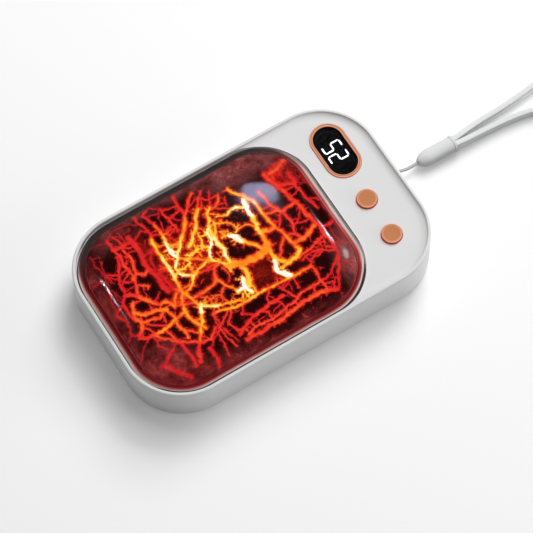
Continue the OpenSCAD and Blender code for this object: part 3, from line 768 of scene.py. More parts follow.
# The routes of the solids, in metres
CORD_ROUTE = [
    (-0.0019, 0.0521, 0.0047), (-0.00145, 0.05125, 0.0047), (-0.001, 0.0502, 0.0047),
    (-0.00144, 0.04914, 0.0047), (-0.0025, 0.0487, 0.0047), (-0.00356, 0.04914, 0.0047),
    (-0.004, 0.0502, 0.0047), (-0.004, 0.0514, 0.00468), (-0.00393, 0.0527, 0.00458),
    (-0.00375, 0.0541, 0.0043), (-0.00345, 0.0556, 0.00385), (-0.00318, 0.0572, 0.00335),
    (-0.00302, 0.0589, 0.00298), (-0.003, 0.0607, 0.00283), (-0.00305, 0.0628, 0.0028),
    (-0.00301, 0.0658, 0.0028), (-0.00298, 0.0688, 0.0028), (-0.00294, 0.0718, 0.0028),
    (-0.00291, 0.0743, 0.0028)]
STRAP_ROUTE = [
    (-0.00382, 0.07461, 0.0028), (-0.00381, 0.0767, 0.0028), (-0.00405, 0.0795, 0.00268),
    (-0.0046, 0.083, 0.0024), (-0.00505, 0.087, 0.0021), (-0.00535, 0.093, 0.00185),
    (-0.00585, 0.1, 0.0018), (-0.0067, 0.108, 0.0018), (-0.0083, 0.1175, 0.0018),
    (-0.0109, 0.128, 0.0018), (-0.0137, 0.1395, 0.0018), (-0.0162, 0.1515, 0.0018),
    (-0.0176, 0.1635, 0.0018), (-0.0173, 0.175, 0.0018), (-0.0145, 0.185, 0.0018),
    (-0.0096, 0.1926, 0.0018), (-0.003, 0.197, 0.0018), (0.0042, 0.198, 0.0018),
    (0.011, 0.1958, 0.0018), (0.0164, 0.1908, 0.0018), (0.02, 0.183, 0.0018),
    (0.0212, 0.173, 0.0018), (0.0202, 0.162, 0.0018), (0.0172, 0.1505, 0.0018),
    (0.0132, 0.139, 0.0018), (0.0089, 0.128, 0.0018), (0.0048, 0.1175, 0.0018),
    (0.0018, 0.109, 0.0018), (0.0, 0.1025, 0.0018), (-0.001, 0.096, 0.00185),
    (-0.0014, 0.0905, 0.002), (-0.0016, 0.085, 0.00225), (-0.00172, 0.0805, 0.00255),
    (-0.00196, 0.0767, 0.0028), (-0.002, 0.07459, 0.0028)]
# Where the cord leaves the end wall
CORD_EXIT = CORD_ROUTE[8]
# In millimetres and degrees
SLEEVE_TIP = (-3.05, 62.8)
SLEEVE_TURN = 0.7
ROUTE_STEPS = 6


def smooth_route(route, steps):
    """A curve through every point of a route (Catmull-Rom), in millimetres."""
    points = np.array(route) / MM
    ends = np.vstack([2 * points[0] - points[1], points, 2 * points[-1] - points[-2]])
    t = np.linspace(0.0, 1.0, steps, endpoint=False)[:, None]
    spans = []
    for p0, p1, p2, p3 in zip(ends, ends[1:], ends[2:], ends[3:]):
        spans.append(0.5 * (2 * p1 + (p2 - p0) * t + (2 * p0 - 5 * p1 + 4 * p2 - p3) * t ** 2
                            + (3 * p1 - p0 - 3 * p2 + p3) * t ** 3))
    return np.vstack([*spans, points[-1:]])


def line_object(name, points, joins):
    """A mesh of edges only, in metres, from points in millimetres; joins says how many edges join them."""
    mesh = bpy.data.meshes.new(name)
    edges = [(i, (i + 1) % len(points)) for i in range(joins)]
    mesh.from_pydata((np.asarray(points) * MM).tolist(), edges, [])
    made = bpy.data.objects.new(name, mesh)
    bpy.context.scene.collection.objects.link(made)
    return made


def swept(name, route, section, material):
    """A section carried along a route by the sweep tree."""
    profile = line_object("section", at_height(np.array(section), 0.0), len(section))
    made = line_object(name, route, len(route) - 1)
    run_tree(made, sweep_tree(), Profile=profile, Material=material)
    bpy.data.objects.remove(profile)
    return made


def route_length(points):
    """Length of a line, in metres, from points in millimetres."""
    return float(np.linalg.norm(np.diff(points, axis=0), axis=1).sum()) * MM


def strap_section(thick, wide):
    """A woven tape's section, on edge: flat faces, eased corners and a shallow groove down each face."""
    ease, groove = 0.32, 0.07
    groove_end, face_start = 0.45, 0.6
    x, z = thick / 2, wide / 2
    corner = arc(x - ease, z - ease, ease, 0, 90, 5)
    quarter = [(x - groove, 0.0), (x - groove, z * groove_end), (x, z * face_start)] + corner
    mirrored = [(-a, b) for a, b in reversed(quarter)]
    half = quarter + mirrored[:-1]
    return half + [(-a, -b) for a, b in half]


class WARMER_OT_lanyard(bpy.types.Operator):
    """Makes the thin cord, the wrist strap and the sleeve that joins them"""

    bl_idname = "warmer.lanyard"
    bl_label = "Lanyard"

    def execute(self, context):
        sizes = context.scene.lanyard_sizes
        colours = context.scene.warmer_colours
        sleeve = self.make_sleeve(sizes, colours)
        cord_shade = 0.62

        cord_path = smooth_route(CORD_ROUTE, ROUTE_STEPS)
        cord_d = sizes.cord / MM
        cord = swept("lanyard_cord_braid", cord_path, circle_outline((0, 0), cord_d / 2, 20),
                     braided_cord(tinted(colours.strap, cord_shade)))
        rides(cord, "lanyard_cord")
        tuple(CORD_EXIT)

        strap_path = smooth_route(STRAP_ROUTE, ROUTE_STEPS)
        section = strap_section(sizes.strap / MM, sizes.strap_width / MM)
        girth = route_length(section + section[:1])
        strap = swept("wrist_strap_band", strap_path, section,
                      woven_strap(colours.strap, sizes.strap_width, girth))
        rides(strap, "wrist_strap")
        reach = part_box("wrist_strap")[1][1]
        for vertex in strap.data.vertices:
            vertex.co.y = min(vertex.co.y, reach)
        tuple(STRAP_ROUTE[0])
        return {"FINISHED"}

    def make_sleeve(self, sizes, colours):
        """A bullet-shaped sleeve, made standing and then laid on the table."""
        radius, long, nose = sizes.sleeve / MM / 2, sizes.sleeve_length / MM, sizes.nose / MM
        play, ease, lip = 0.05, 0.05, 0.12
        bore, bore_deep = sizes.cord / MM / 2 + play, 3.0
        mouth, mouth_deep, rim_round = 0.3, 2.2, 0.15
        collar_rise, collar_start, collar_full = 0.14, 0.95, 0.85
        body = radius - collar_rise
        curve = [(body * math.sin(a), nose * (1 - math.cos(a))) for a in np.linspace(0.0, QUARTER, 25)]
        curve = [(r, z) for r, z in curve if r > bore + lip]
        tip = curve[0][1]
        profile = [(bore, bore_deep), (bore, tip + ease), (bore + ease, tip)] + curve
        profile += [(body, long - collar_start), (radius, long - collar_full)]
        profile += arc(radius - rim_round, long - rim_round, rim_round, 0, 90, 4)
        profile += [(radius - mouth, long)]
        # The sleeve's upright sides carry painted shade
        plastic = moulded("sleeve", colours.sleeve, 0.36, flank_shade=0.56)
        made = lathe("lanyard_sleeve_body", (0, 0), profile, plastic, 72)
        cut_or_join(made, self.pocket(sizes, long, mouth_deep))
        turn = Matrix.Rotation(math.radians(-SLEEVE_TURN), 4, "Z") @ Matrix.Rotation(-QUARTER, 4, "X")
        place = Matrix.Translation(Vector((*SLEEVE_TIP, radius)) * MM)
        made.data.transform(place @ turn)
        made.data.update()
        shade_smooth(made.data, 35)
        return rides(made, "lanyard_sleeve")

    def pocket(self, sizes, long, deep):
        """The slot in the sleeve's wide end that takes both ends of the strap."""
        side_play, end_play, corner, over = 0.15, 0.1, 0.3, 1
        half_x = sizes.strap / MM + side_play
        half_y = sizes.strap_width / MM / 2 + end_play
        outline = rounded_outline(half_x, -half_y, half_y, corner, 5)
        rings = [at_height(outline, z) for z in (long - deep, long + over)]
        return lofted("pocket", rings, bpy.data.materials.new("pocket"))


# Housing

class WARMER_OT_housing(bpy.types.Operator):
    """Makes the housing: walls, rim, cove and control panel in one piece"""

    bl_idname = "warmer.housing"
    bl_label = "Housing"

    CORNER_STEPS = 32
    # How far a cut runs past what it cuts
    OVER = 1.0
    # The lanyard's slot in the end wall, and how deep its pin sits in the block over it
    SLOT_LEFT, SLOT_RIGHT, SLOT_FLOOR = -5.0, 0.0, 2.8
    PIN_SEAT = 0.8

    def outline(self, inset):
        """The case's outline, drawn in by a distance."""
        return rounded_outline(
            CASE_HIGH[0] - inset, CASE_LOW[1] + inset, CASE_HIGH[1] - inset, self.corner - inset,
            self.CORNER_STEPS)

    def execute(self, context):
        sizes = context.scene.case_sizes
        self.corner = sizes.corner / MM
        wall, rim, cove = sizes.wall / MM, sizes.rim / MM, sizes.cove / MM
        foot, rim_round = sizes.foot_round / MM, sizes.rim_round / MM
        rim_z, drop = CASE_HIGH[2], sizes.panel_drop / MM
        panel_z = rim_z - drop
        ceiling = panel_z - sizes.panel / MM
        inner_round, fillet, foot_ease, panel_reach = 0.2, 0.4, 0.15, 2.0

        # Section from the ceiling inside, round the foot and the rim, to the panel
        section = [(wall + fillet, ceiling), (wall, ceiling - fillet), (wall, foot_ease),
                   (wall - foot_ease, 0.0)]
        section += [(foot - x, z) for x, z in arc(0.0, foot, foot, -90, 0, 10)]
        section += [(rim_round - x, z) for x, z in arc(0.0, rim_z - rim_round, rim_round, 0, 90, 8)]
        section += arc(rim - inner_round, rim_z - inner_round, inner_round, 90, 20, 5)
        section += [(rim + cove - cove * x, rim_z - drop * z) for x, z in arc(0.0, 0.0, 1.0, 25, 90, 11)]
        section.append((rim + cove + panel_reach, panel_z))
        rings = [at_height(self.outline(inset), z) for inset, z in section]
        white = moulded("white_shell", context.scene.warmer_colours.shell, 0.4)
        housing = lofted("housing_shell", rings, white)
        for tool, operation in self.tools(context, panel_z, ceiling):
            cut_or_join(housing, tool, operation)
        housing.data.materials.clear()
        housing.data.materials.append(white)
        shade_smooth(housing.data, 28)
        weigh = housing.modifiers.new("normals", "WEIGHTED_NORMAL")
        weigh.keep_sharp = True
        apply_modifiers(housing)
        rides(housing, "front_housing")
        return {"FINISHED"}

    def tools(self, context, panel_z, ceiling):
        """The solids that are cut from the shell or joined to it, in turn."""
        sizes = context.scene.case_sizes
        wall = sizes.wall / MM
        below, top = ceiling - self.OVER, CASE_HIGH[2] + self.OVER
        seat = panel_z - sizes.seat_drop / MM
        ledge = sizes.ledge / MM
        blank = bpy.data.materials.new("tool")

        play = 0.13
        rings = [(ledge, below), (ledge, seat), (-play, seat), (-play, top)]
        rings = [at_height(window_outline(inset, 24), z) for inset, z in rings]
        yield lofted("tool", rings, blank), "DIFFERENCE"

        lip, slip, ease = 2.0, 0.05, 0.08
        rings = [(-lip, below), (-lip, RING_LOW[2]), (slip, RING_LOW[2]), (slip, panel_z - ease),
                 (slip + ease, panel_z), (slip + ease, top)]
        rings = [at_height(ring_outline(-grow, 32), z) for grow, z in rings]
        yield lofted("tool", rings, blank), "DIFFERENCE"

        play, ease = 0.1, 0.15
        radius = button_radius() + play
        profile = [(radius, below), (radius, panel_z - ease), (radius + ease, panel_z), (radius + ease, top)]
        for low, high in BUTTONS.values():
            yield lathe("tool", (low[:2] + high[:2]) / 2, profile, blank), "DIFFERENCE"

        play = 0.2
        centre, size = (SOCKET_LOW + SOCKET_HIGH) / 2, SOCKET_HIGH - SOCKET_LOW
        yield self.socket_opening(centre[[0, 2]], size[[0, 2]] + play, wall, blank), "DIFFERENCE"
        slot = self.SLOT_LEFT, self.SLOT_RIGHT, self.SLOT_FLOOR, PIN_TOP - self.PIN_SEAT
        yield self.lanyard_block(*slot, wall, blank), "UNION"
        yield self.lanyard_pocket(*slot, blank), "DIFFERENCE"

    def across_wall(self, outline, middle, foot, y):
        """An outline drawn flat, stood up in the end wall."""
        return np.column_stack([middle - outline[:, 0], np.full(len(outline), y), foot + outline[:, 1]])

    def socket_opening(self, centre, size, wall, blank):
        """A pill-shaped opening through the end wall, eased at its mouth."""
        outer, ease = CASE_HIGH[1], 0.25
        stations = ((0, outer - wall - self.OVER), (0, outer - ease), (2 * ease, outer),
                    (2 * ease, outer + self.OVER))
        rings = [
            self.across_wall(pill_outline((0, 0), size[0] + grow, size[1] + grow, 24), *centre, y)
            for grow, y in stations]
        return lofted("tool", rings, blank)

    def lanyard_block(self, left, right, foot, top, wall, blank):
        """The block inside the end wall that holds the anchor pin."""
        thick, depth, sunk, corner = 1.0, 5.9, 0.5, 0.3
        outline = rounded_outline((right - left) / 2 + thick, 0, top - foot + 2 * thick, corner, 4)
        rings = [
            self.across_wall(outline, (left + right) / 2, foot - thick, y)
            for y in (CASE_HIGH[1] - depth, CASE_HIGH[1] - wall + sunk)]
        return lofted("tool", rings, blank)

    def lanyard_pocket(self, left, right, foot, top, blank):
        """The pocket that the cord leaves by, with a rounded mouth."""
        outer, depth, corner = CASE_HIGH[1], 4.9, 0.6
        stations = ((0, outer - depth), (0, outer - 0.5), (0.1, outer - 0.2), (0.35, outer),
                    (0.35, outer + self.OVER))
        rings = []
        for grow, y in stations:
            outline = rounded_outline((right - left) / 2 + grow, -grow, top - foot + grow, corner + grow, 6)
            rings.append(self.across_wall(outline, (left + right) / 2, foot, y))
        return lofted("tool", rings, blank)


def ring_outline(inset, steps):
    """The outline of the display's ring, drawn in by a distance."""
    long, wide = (RING_HIGH - RING_LOW)[:2] - 2 * inset
    return pill_outline((RING_LOW[:2] + RING_HIGH[:2]) / 2, long, wide, steps)


def button_radius():
    """Radius of a cap, inside the flange that keeps it in its hole."""
    low, high = BUTTONS["power_button"]
    flange_out = 0.7
    return (high[0] - low[0]) / 2 - flange_out


# Window and plate

# How fast the corners' radius shrinks inward, how square the shoulder is, how far the section goes
CORNER_SHARE = 0.55
SHOULDER_POWER = 2.5
FLAT_REACH = 0.86


def window_radius(inset):
    """Corner radius of the window's outline, drawn in: past the flange the corners stay rounder."""
    sizes = bpy.context.scene.window_sizes
    radius = bpy.context.scene.case_sizes.corner / MM - (CASE_HIGH[0] - WINDOW_HIGH[0])
    turn_in = (sizes.flange + sizes.skin + sizes.plate_gap) / MM
    return radius - np.minimum(inset, turn_in) - CORNER_SHARE * np.maximum(inset - turn_in, 0.0)


def window_rim(inset):
    """Half width, ends and corner radius of the window's outline, drawn in by a distance."""
    return WINDOW_HIGH[0] - inset, WINDOW_LOW[1] + inset, WINDOW_HIGH[1] - inset, window_radius(inset)


def window_outline(inset, steps):
    """The window's outline, drawn in by a distance."""
    return rounded_outline(*window_rim(inset), steps)


def dome_section(sizes, deep, steps=40):
    """The dome's section, a distance below its outer face, as insets and heights.

    The window and the plate under it both follow it."""
    flange, shoulder = sizes.flange / MM, sizes.shoulder / MM
    rise, crown = sizes.rise / MM, sizes.crown / MM
    turn = np.linspace(0.0, QUARTER, steps)
    out, up = np.maximum(np.cos(turn), 0.0), np.sin(turn)
    share = 2 / SHOULDER_POWER
    slope_x, slope_z = out ** (2 - share) / shoulder, up ** (2 - share) / rise
    size = np.hypot(slope_x, slope_z)
    inset = flange + shoulder * (1 - out ** share) + deep * slope_x / size
    height = rise * up ** share - deep * slope_z / size
    reach = np.linspace(flange + shoulder, WINDOW_HIGH[0] * FLAT_REACH, 14)[1:]
    inset = np.maximum.accumulate(np.concatenate([inset, reach]))
    height = np.maximum.accumulate(np.concatenate([height, np.full(len(reach), rise - deep)]))
    spread = (inset - flange) / (WINDOW_HIGH[0] - flange)
    return inset, WINDOW_HIGH[2] - rise - crown + height + crown * (1 - (1 - spread) ** 2)


class WARMER_OT_window(bpy.types.Operator):
    """Makes the clear domed window with its flange, and the adhesive under it"""

    bl_idname = "warmer.window"
    bl_label = "Clear window"

    CORNER_STEPS = 28
    SHARP = 35

    def execute(self, context):
        sizes = context.scene.window_sizes
        skin, flange, round_off = sizes.skin / MM, sizes.flange / MM, sizes.edge_round / MM
        flange_z = WINDOW_HIGH[2] - (sizes.rise + sizes.crown) / MM
        foot_z, foot_ease = WINDOW_LOW[2], 0.1
        section = list(zip(*dome_section(sizes, skin)))[::-1]
        section += [(flange + skin, foot_z), (foot_ease, foot_z), (0.0, foot_z + foot_ease)]
        section += [(round_off - x, z) for x, z in arc(0.0, flange_z - round_off, round_off, 0, 90, 6)]
        section += zip(*dome_section(sizes, 0.0))
        plastic = clear_plastic("clear_dome", PALETTE["clear"], 1.03, 0.05, 1.0)
        rides(lofted("window_dome", self.rings(section), plastic, self.SHARP), "clear_dome")

        low, high = box_mm("dome_seal")
        outer_gap, plate_slip = 0.15, 0.04
        begin, end = outer_gap, flange + skin + sizes.plate_gap / MM - plate_slip
        rings = self.rings([(begin, low[2]), (begin, high[2]), (end, high[2]), (end, low[2])])
        band = mesh_object("window_adhesive_band", *hoop(rings), window_adhesive(), self.SHARP)
        rides(band, "dome_seal")
        return {"FINISHED"}

    def rings(self, section):
        """Rings of the window's outline, from insets and heights."""
        return [at_height(window_outline(inset, self.CORNER_STEPS), z) for inset, z in section]


# Cracks laid out one by one, each as width, heat from 0 to 1, and points
FISSURES = (
    # Top edge and the veins that hang from it
    (1.5, 0.45, (-20.2, 26), (-18.8, 21), (-17.8, 17)),
    (0.5, 0.2, (-15, 25.7), (-9, 26), (-2, 26.1), (5, 25.9), (13, 25.6)),
    (0.35, 0.22, (-10, 25.8), (-9.9, 23.4)),
    (0.7, 0.3, (-3, 26), (-4.3, 23.3)),
    (1.1, 0.34, (5.2, 25.8), (6.2, 24), (6, 21.3)),
    (0.6, 0.22, (14.2, 25.5), (12.6, 23.4), (13.6, 21.4)),
    (1.0, 0.33, (-15.4, 22.4), (-10, 21.8), (-5.5, 22.3), (-3, 23.3), (-0.4, 23.8)),
    (0.5, 0.26, (-16.6, 20), (-12.8, 20.4)),
    (1.1, 0.37, (-11.2, 21.8), (-12, 19.8), (-13, 17.2)),
    (1.4, 0.4, (-18.4, 15.6), (-13, 17), (-8, 18.2), (-3, 19.5), (2, 20.2), (8, 20.7), (14, 20.9)),
    (0.9, 0.3, (14, 20.9), (17, 20.7), (20, 18.8), (23, 16.6), (26, 14.6)),
    (0.5, 0.22, (19.6, 19), (20, 23), (23, 22)),
    (0.4, 0.22, (24.6, 15.6), (29.4, 15)),
    # Upper middle
    (1.5, 0.52, (4.5, 20.2), (5.5, 17.5), (6.6, 14.5), (6.4, 11.2)),
    (0.8, 0.5, (8.8, 20.6), (10, 16), (11, 12), (11.4, 9.6)),
    (0.6, 0.42, (14.8, 20.4), (12.6, 17), (12, 14.6), (12.7, 10.2)),
    (0.5, 0.38, (13.2, 17.4), (13.7, 13), (15.4, 11.4)),
    (0.7, 0.34, (16.4, 20.4), (19, 17.2), (21, 14.8), (21.2, 11.6)),
    (0.35, 0.28, (20, 16.2), (22.6, 15.2)),
    (1.1, 0.5, (-5.4, 18.6), (-5, 15.2), (-4.6, 13.6), (-6, 12.3), (-6.4, 9)),
    (0.9, 0.42, (-4.6, 13.7), (-1, 14.3), (3.5, 13.2)),
    (0.9, 0.5, (-14, 10.9), (-8.5, 11.7), (-5.6, 12.8)),
    (0.9, 0.46, (15.2, 11.5), (18, 11.8), (21, 11.3), (24.8, 11.4)),
    # The hot heart
    (1.0, 0.72, (-20, 3.4), (-16.5, 5.3), (-13.5, 7.2), (-10, 8.2), (-5, 8.5)),
    (1.1, 0.6, (-5, 8.5), (-1, 9), (3, 10.3), (7, 11), (9.5, 11.4)),
    (1.4, 0.56, (-1.4, 9), (-1, 6.8), (-2, 5)),
    (1.3, 0.74, (9, 11.6), (10.8, 9.5), (11.2, 6.8), (11.7, 3.8)),
    (1.4, 0.98, (-14.3, 5.8), (-11.5, 5.1), (-8, 5.1)),
    (1.5, 0.77, (-8, 5.1), (-5, 4.7), (-2, 4.2)),
    (1.5, 0.62, (-2, 4.2), (1.5, 3.9), (5, 3.6)),
    (1.4, 0.74, (4.6, 3.6), (8, 3.8), (10.2, 5.6)),
    (0.9, 0.92, (-12, 4.8), (-13.2, 2.6), (-13.4, 0.4), (-12.5, -1.2)),
    (0.5, 0.8, (-12.5, -1.2), (-13, -3), (-13.8, -4.4)),
    (1.7, 1.0, (8.2, 3.1), (10.4, 2.1), (12, 1.8), (13.4, 3.2), (15.2, 4.6)),
    (2.4, 0.61, (2.4, 4), (4, 2.4), (4.4, 0), (4.2, -3), (4, -5.6), (2.8, -8.4), (2.2, -9.8)),
    (1.2, 0.7, (3, 2), (1, 1), (-0.8, -0.8), (-2.4, -2)),
    (1.8, 1.0, (-2.2, -1.9), (-4.4, -3), (-6.2, -4.4)),
    (0.6, 0.92, (-6.2, -4.4), (-6.7, -6.6)),
    (0.35, 0.82, (-7.9, 0.1), (-6, -2)),
    (0.4, 0.74, (-7.6, -4), (-8.8, -6.2)),
    (0.8, 0.55, (-19.8, -0.2), (-17.8, -1.4), (-16.7, -4)),
    (0.5, 0.4, (-18.2, 1.2), (-15.4, 0.3)),
    (1.1, 0.76, (-17.7, -4.4), (-15.5, -6.6), (-12, -8), (-9, -8.6)),
    (1.3, 0.88, (-9, -8.6), (-6, -8.7), (-3, -8), (0.5, -8.8), (2.4, -9)),
    (0.7, 0.86, (-12.4, -6.2), (-10, -7), (-8, -8.6)),
    (0.9, 0.96, (-11.8, -8), (-10.6, -9.6), (-8, -9.6), (-6, -11.2), (-4.4, -12.4), (-2, -13.3)),
    (0.9, 0.6, (15.6, 11.4), (15.9, 7), (15.6, 4.6)),
    (0.9, 0.72, (15.6, 4.6), (15.5, 0), (15.1, -4), (15, -7)),
    (0.9, 0.7, (15, -7), (15.5, -10.5), (15.5, -13), (14.8, -16.5), (13.8, -20), (13.7, -22)),
    (1.4, 1.0, (8.4, -8.3), (10.6, -9.1), (13.8, -8.3)),
    (1.1, 1.0, (11.3, -9), (11.2, -12)),
    (1.5, 0.73, (4, -6.8), (8, -6.4), (9.8, -6.9), (11.4, -7.8)),
    (0.6, 0.72, (12.2, -7), (14.9, -7.2)),
    (0.6, 0.84, (12.8, -11), (14.9, -12)),
    # Fan from the left, and the tree that it runs into
    (1.0, 0.45, (-25, -6.5), (-22, -9.6), (-20, -11.5)),
    (1.3, 0.62, (-20, -11.5), (-16, -14.5), (-13, -17)),
    (1.2, 0.82, (-14, -16.2), (-11, -18.8), (-8.8, -21.3)),
    (0.8, 0.42, (-24, -3.8), (-19, -7.8)),
    (1.2, 0.76, (-19, -7.8), (-16, -10.4), (-13, -12.4), (-10.3, -15.2), (-9.4, -16.8)),
    (0.6, 0.32, (-23, -1.4), (-19.6, -3.4), (-17.7, -4.4)),
    (0.6, 0.36, (-22.6, -6.8), (-20, -3.6), (-19.8, -0.4)),
    (0.5, 0.4, (-21, -5.4), (-18.4, -7.2)),
    (1.0, 0.97, (-8.8, -21.3), (-7, -22.6), (-5.4, -24), (-3, -23.8), (-1.5, -22), (-0.4, -20.4)),
    (1.0, 0.62, (-7.4, -21), (-4.6, -16.6), (-2, -13.4)),
    (1.0, 0.76, (-2, -13.4), (0, -11.4), (2.4, -9.6), (4.4, -10.2)),
    (0.9, 0.8, (-2.4, -14.6), (-1.4, -18.4), (-0.3, -20.5), (2, -22.6)),
    (0.9, 0.68, (2, -22.6), (3.3, -25.4), (4.2, -25.8)),
    (0.6, 0.9, (-6.4, -12.2), (-7.2, -15), (-6.4, -17.4), (-7.4, -19)),
    (0.5, 0.84, (-9, -15), (-6.6, -15.4), (-4.4, -15.2)),
    (0.6, 0.92, (-6.4, -20), (-4.4, -19.2), (-3.6, -21.8), (-4.6, -23.6)),
    (0.4, 0.62, (-12.6, -10.4), (-12.9, -13)),
    (0.4, 0.6, (-15.2, -10.8), (-15.4, -13)),
    # Right of the heart
    (0.9, 0.56, (0, -11.6), (1, -14.2), (4, -15.2), (5.6, -17.2), (6, -20.4), (6.2, -24.6)),
    (0.8, 0.64, (4, -15.2), (7.6, -14), (9, -12.6), (11.3, -12.2)),
    (0.5, 0.5, (0, -12), (0.1, -16), (-0.4, -19.6)),
    (0.4, 0.5, (2.6, -11.6), (5, -11.2), (7, -12.6)),
    (0.8, 0.72, (14.4, -12.6), (13.3, -15.6), (12.2, -18.8)),
    (1.1, 0.94, (12.2, -18.8), (11, -21.4), (9.4, -23.8)),
    (0.5, 0.6, (7.2, -14), (9.6, -16.8), (9.1, -20), (9.4, -23)),
    (0.4, 0.56, (7, -22.4), (9.8, -18)),
    (0.4, 0.62, (9.6, -16.8), (12.4, -16.6)),
    (1.3, 1.0, (9, -23.6), (11.4, -24.8)),
    (1.1, 0.74, (11.4, -24.8), (14, -26), (17, -28.4)),
    (1.1, 0.54, (17, -28.4), (19.7, -30.4)),
    (1.3, 0.34, (19.7, -30.4), (22.4, -32.4), (24.6, -33.2)),
    (0.4, 0.5, (12.4, -21), (14.5, -22.3), (19, -22.8), (25.8, -21.4)),
    (0.35, 0.4, (13.6, -21.6), (19, -22), (24.8, -20)),
    (0.5, 0.34, (17.6, -23.4), (22, -24.4), (27.4, -25)),
    (0.9, 0.42, (17.8, -24), (20.4, -26.8), (19.9, -30)),
    (0.7, 0.42, (15, -16.8), (18.8, -20), (22, -18.6), (23.4, -16)),
    (0.5, 0.34, (15.6, -12.6), (18.2, -15), (20.4, -11.4)),
    (1.1, 0.37, (19.6, -1), (19.5, -6), (20.3, -10), (21.5, -14.6), (23.4, -18.4)),
    (0.6, 0.42, (15.2, -3), (17.6, -5.6), (19.6, -5.8)),
    (0.6, 0.36, (19.8, -3.2), (23.2, -2.2)),
    (0.6, 0.44, (20.4, -9.4), (21.8, -7.6), (23.8, -7.8)),
    (0.6, 0.44, (21.4, -13.8), (23.6, -13.4)),
    (0.5, 0.36, (16, 4.8), (19.8, 4.4)),
    # The two long veins down the right side
    (1.3, 0.36, (26, 14.6), (25.2, 12.4), (24.8, 10.6)),
    (1.3, 0.48, (24.8, 10.6), (24.6, 5), (24.8, 1), (25.2, -3), (25.8, -7)),
    (1.2, 0.42, (25.8, -7), (26.1, -12), (25.9, -17.6)),
    (0.8, 0.48, (21.3, 11.4), (21.5, 6), (22.3, 2.6), (23.2, 0), (23.6, -4), (24.1, -9), (23.8, -13),
     (24.8, -16.4)),
    (0.4, 0.42, (21.5, 9.2), (23.4, 8), (24.6, 8.6)),
    (0.5, 0.44, (22.9, 1.2), (24.8, 1.8)),
    (0.6, 0.46, (23.4, -2.4), (25.2, -3.4)),
    # Below the heart: the long yellow vein and the thick red one
    (0.9, 0.3, (-27.6, -21), (-26.2, -23.4), (-22, -22)),
    (1.0, 0.48, (-22, -22), (-18, -21.7)),
    (1.0, 0.76, (-18, -21.7), (-14.8, -22)),
    (1.2, 0.97, (-14.8, -22), (-11, -22.5), (-8.8, -22)),
    (0.8, 0.32, (-27.8, -26), (-22, -24.8), (-18.4, -25)),
    (1.1, 0.74, (-18.6, -24.6), (-14, -25.6), (-11, -25.4)),
    (1.2, 0.87, (-11, -25.4), (-6, -25.7), (-2.4, -26)),
    (1.1, 0.68, (-2.4, -26), (2, -26.4), (4.2, -25.6), (7, -24.8), (9, -24)),
    (0.4, 0.66, (-7, -26), (-7.4, -28.6)),
    (0.4, 0.64, (-14, -23), (-14.8, -25.2)),
    (0.5, 0.66, (-8.4, -22.8), (-9.6, -25.2)),
    (0.6, 0.8, (-3.8, -23.8), (-3.4, -25.8)),
    (1.7, 0.27, (-22, -31), (-15, -30.3), (-8, -30.7), (-2, -30.4), (0, -29.8)),
    (0.6, 0.3, (-14, -26.4), (-13.8, -29.8)),
    (0.6, 0.32, (-6.4, -26.6), (-6.2, -30)),
    (0.6, 0.26, (-22, -26.4), (-20.2, -30.4)),
    (0.8, 0.45, (-17.4, -18.4), (-17.2, -21.6)),
    (0.5, 0.45, (-17.4, -16.6), (-16, -19.8)),
    # Lower left: long cells
    (1.3, 0.34, (-20.5, -30.8), (-20.3, -34), (-20.8, -36.8)),
    (0.7, 0.24, (-25, -32.6), (-20.6, -32.6)),
    (0.7, 0.36, (-25, -34.8), (-20, -34.2)),
    (0.9, 0.5, (-20, -34.2), (-14, -33.8), (-10, -34.9)),
    (0.9, 0.33, (-24.8, -36.8), (-20, -36.6)),
    (1.0, 0.46, (-20, -36.6), (-12, -36.4), (-6.4, -37), (-3, -38.2)),
    (1.1, 0.5, (-9.8, -31), (-8.4, -33), (-10, -35), (-9, -36.8)),
    (0.6, 0.52, (-6.4, -36.4), (-4.6, -33.8), (-3.8, -34.6)),
    (0.9, 0.3, (-18, -37), (-13, -39.4), (-10, -41), (-5.6, -41.4), (-4.4, -43)),
    (0.6, 0.32, (-12.6, -36.8), (-12.2, -39.2)),
    (1.4, 0.4, (-3, -38.2), (-5, -40), (-5.6, -41.4)),
    (0.5, 0.2, (-19.6, -41.8), (-11, -42.4)),
    (0.6, 0.15, (-23, -44), (-16, -43.7), (-10, -44.6), (-5, -46), (-1.6, -47)),
    (0.4, 0.2, (-24.4, -26.4), (-26.4, -29.4), (-26.5, -34), (-24.2, -36.8), (-24.9, -39.8)),
    (0.4, 0.2, (-24.2, -29), (-24.6, -36.4)),
    (1.0, 0.3, (-27.4, -12), (-23, -12.6), (-19.6, -12.2)),
    (0.9, 0.34, (-21.6, -12.6), (-20.6, -17)),
    (0.8, 0.4, (-25.4, -17.6), (-20, -17.2), (-15.8, -17)),
    (0.6, 0.2, (-28, -20), (-25.6, -18), (-22.8, -19.8)),
    # Lower middle and right: curved cells
    (0.8, 0.6, (1, -26.4), (2, -28), (5.8, -30.9)),
    (1.0, 0.66, (3, -26.2), (5.6, -28.2), (10, -28.9), (13.2, -28), (16.2, -26.4)),
    (0.6, 0.56, (7.6, -25), (6.5, -27.6), (5.7, -31)),
    (0.7, 0.5, (17, -28.6), (14.6, -31), (13, -33)),
    (0.9, 0.5, (19, -30.8), (17, -34), (15.4, -36.4), (12.2, -39.4), (10, -41)),
    (1.1, 0.63, (8.6, -28.9), (9.2, -33), (10.2, -36), (10.2, -40)),
    (1.0, 0.6, (4.6, -33.8), (8.5, -32.4), (11, -33), (16.4, -32.5)),
    (1.3, 0.52, (5, -30.8), (2.8, -32), (2.4, -34.4), (-0.4, -36.4), (-3, -38.2)),
    (1.4, 0.58, (5, -33.2), (3.5, -36), (3, -39.4), (0.6, -42)),
    (0.9, 0.56, (5.2, -34.4), (6.6, -36.4), (5.3, -39.4), (4.6, -42)),
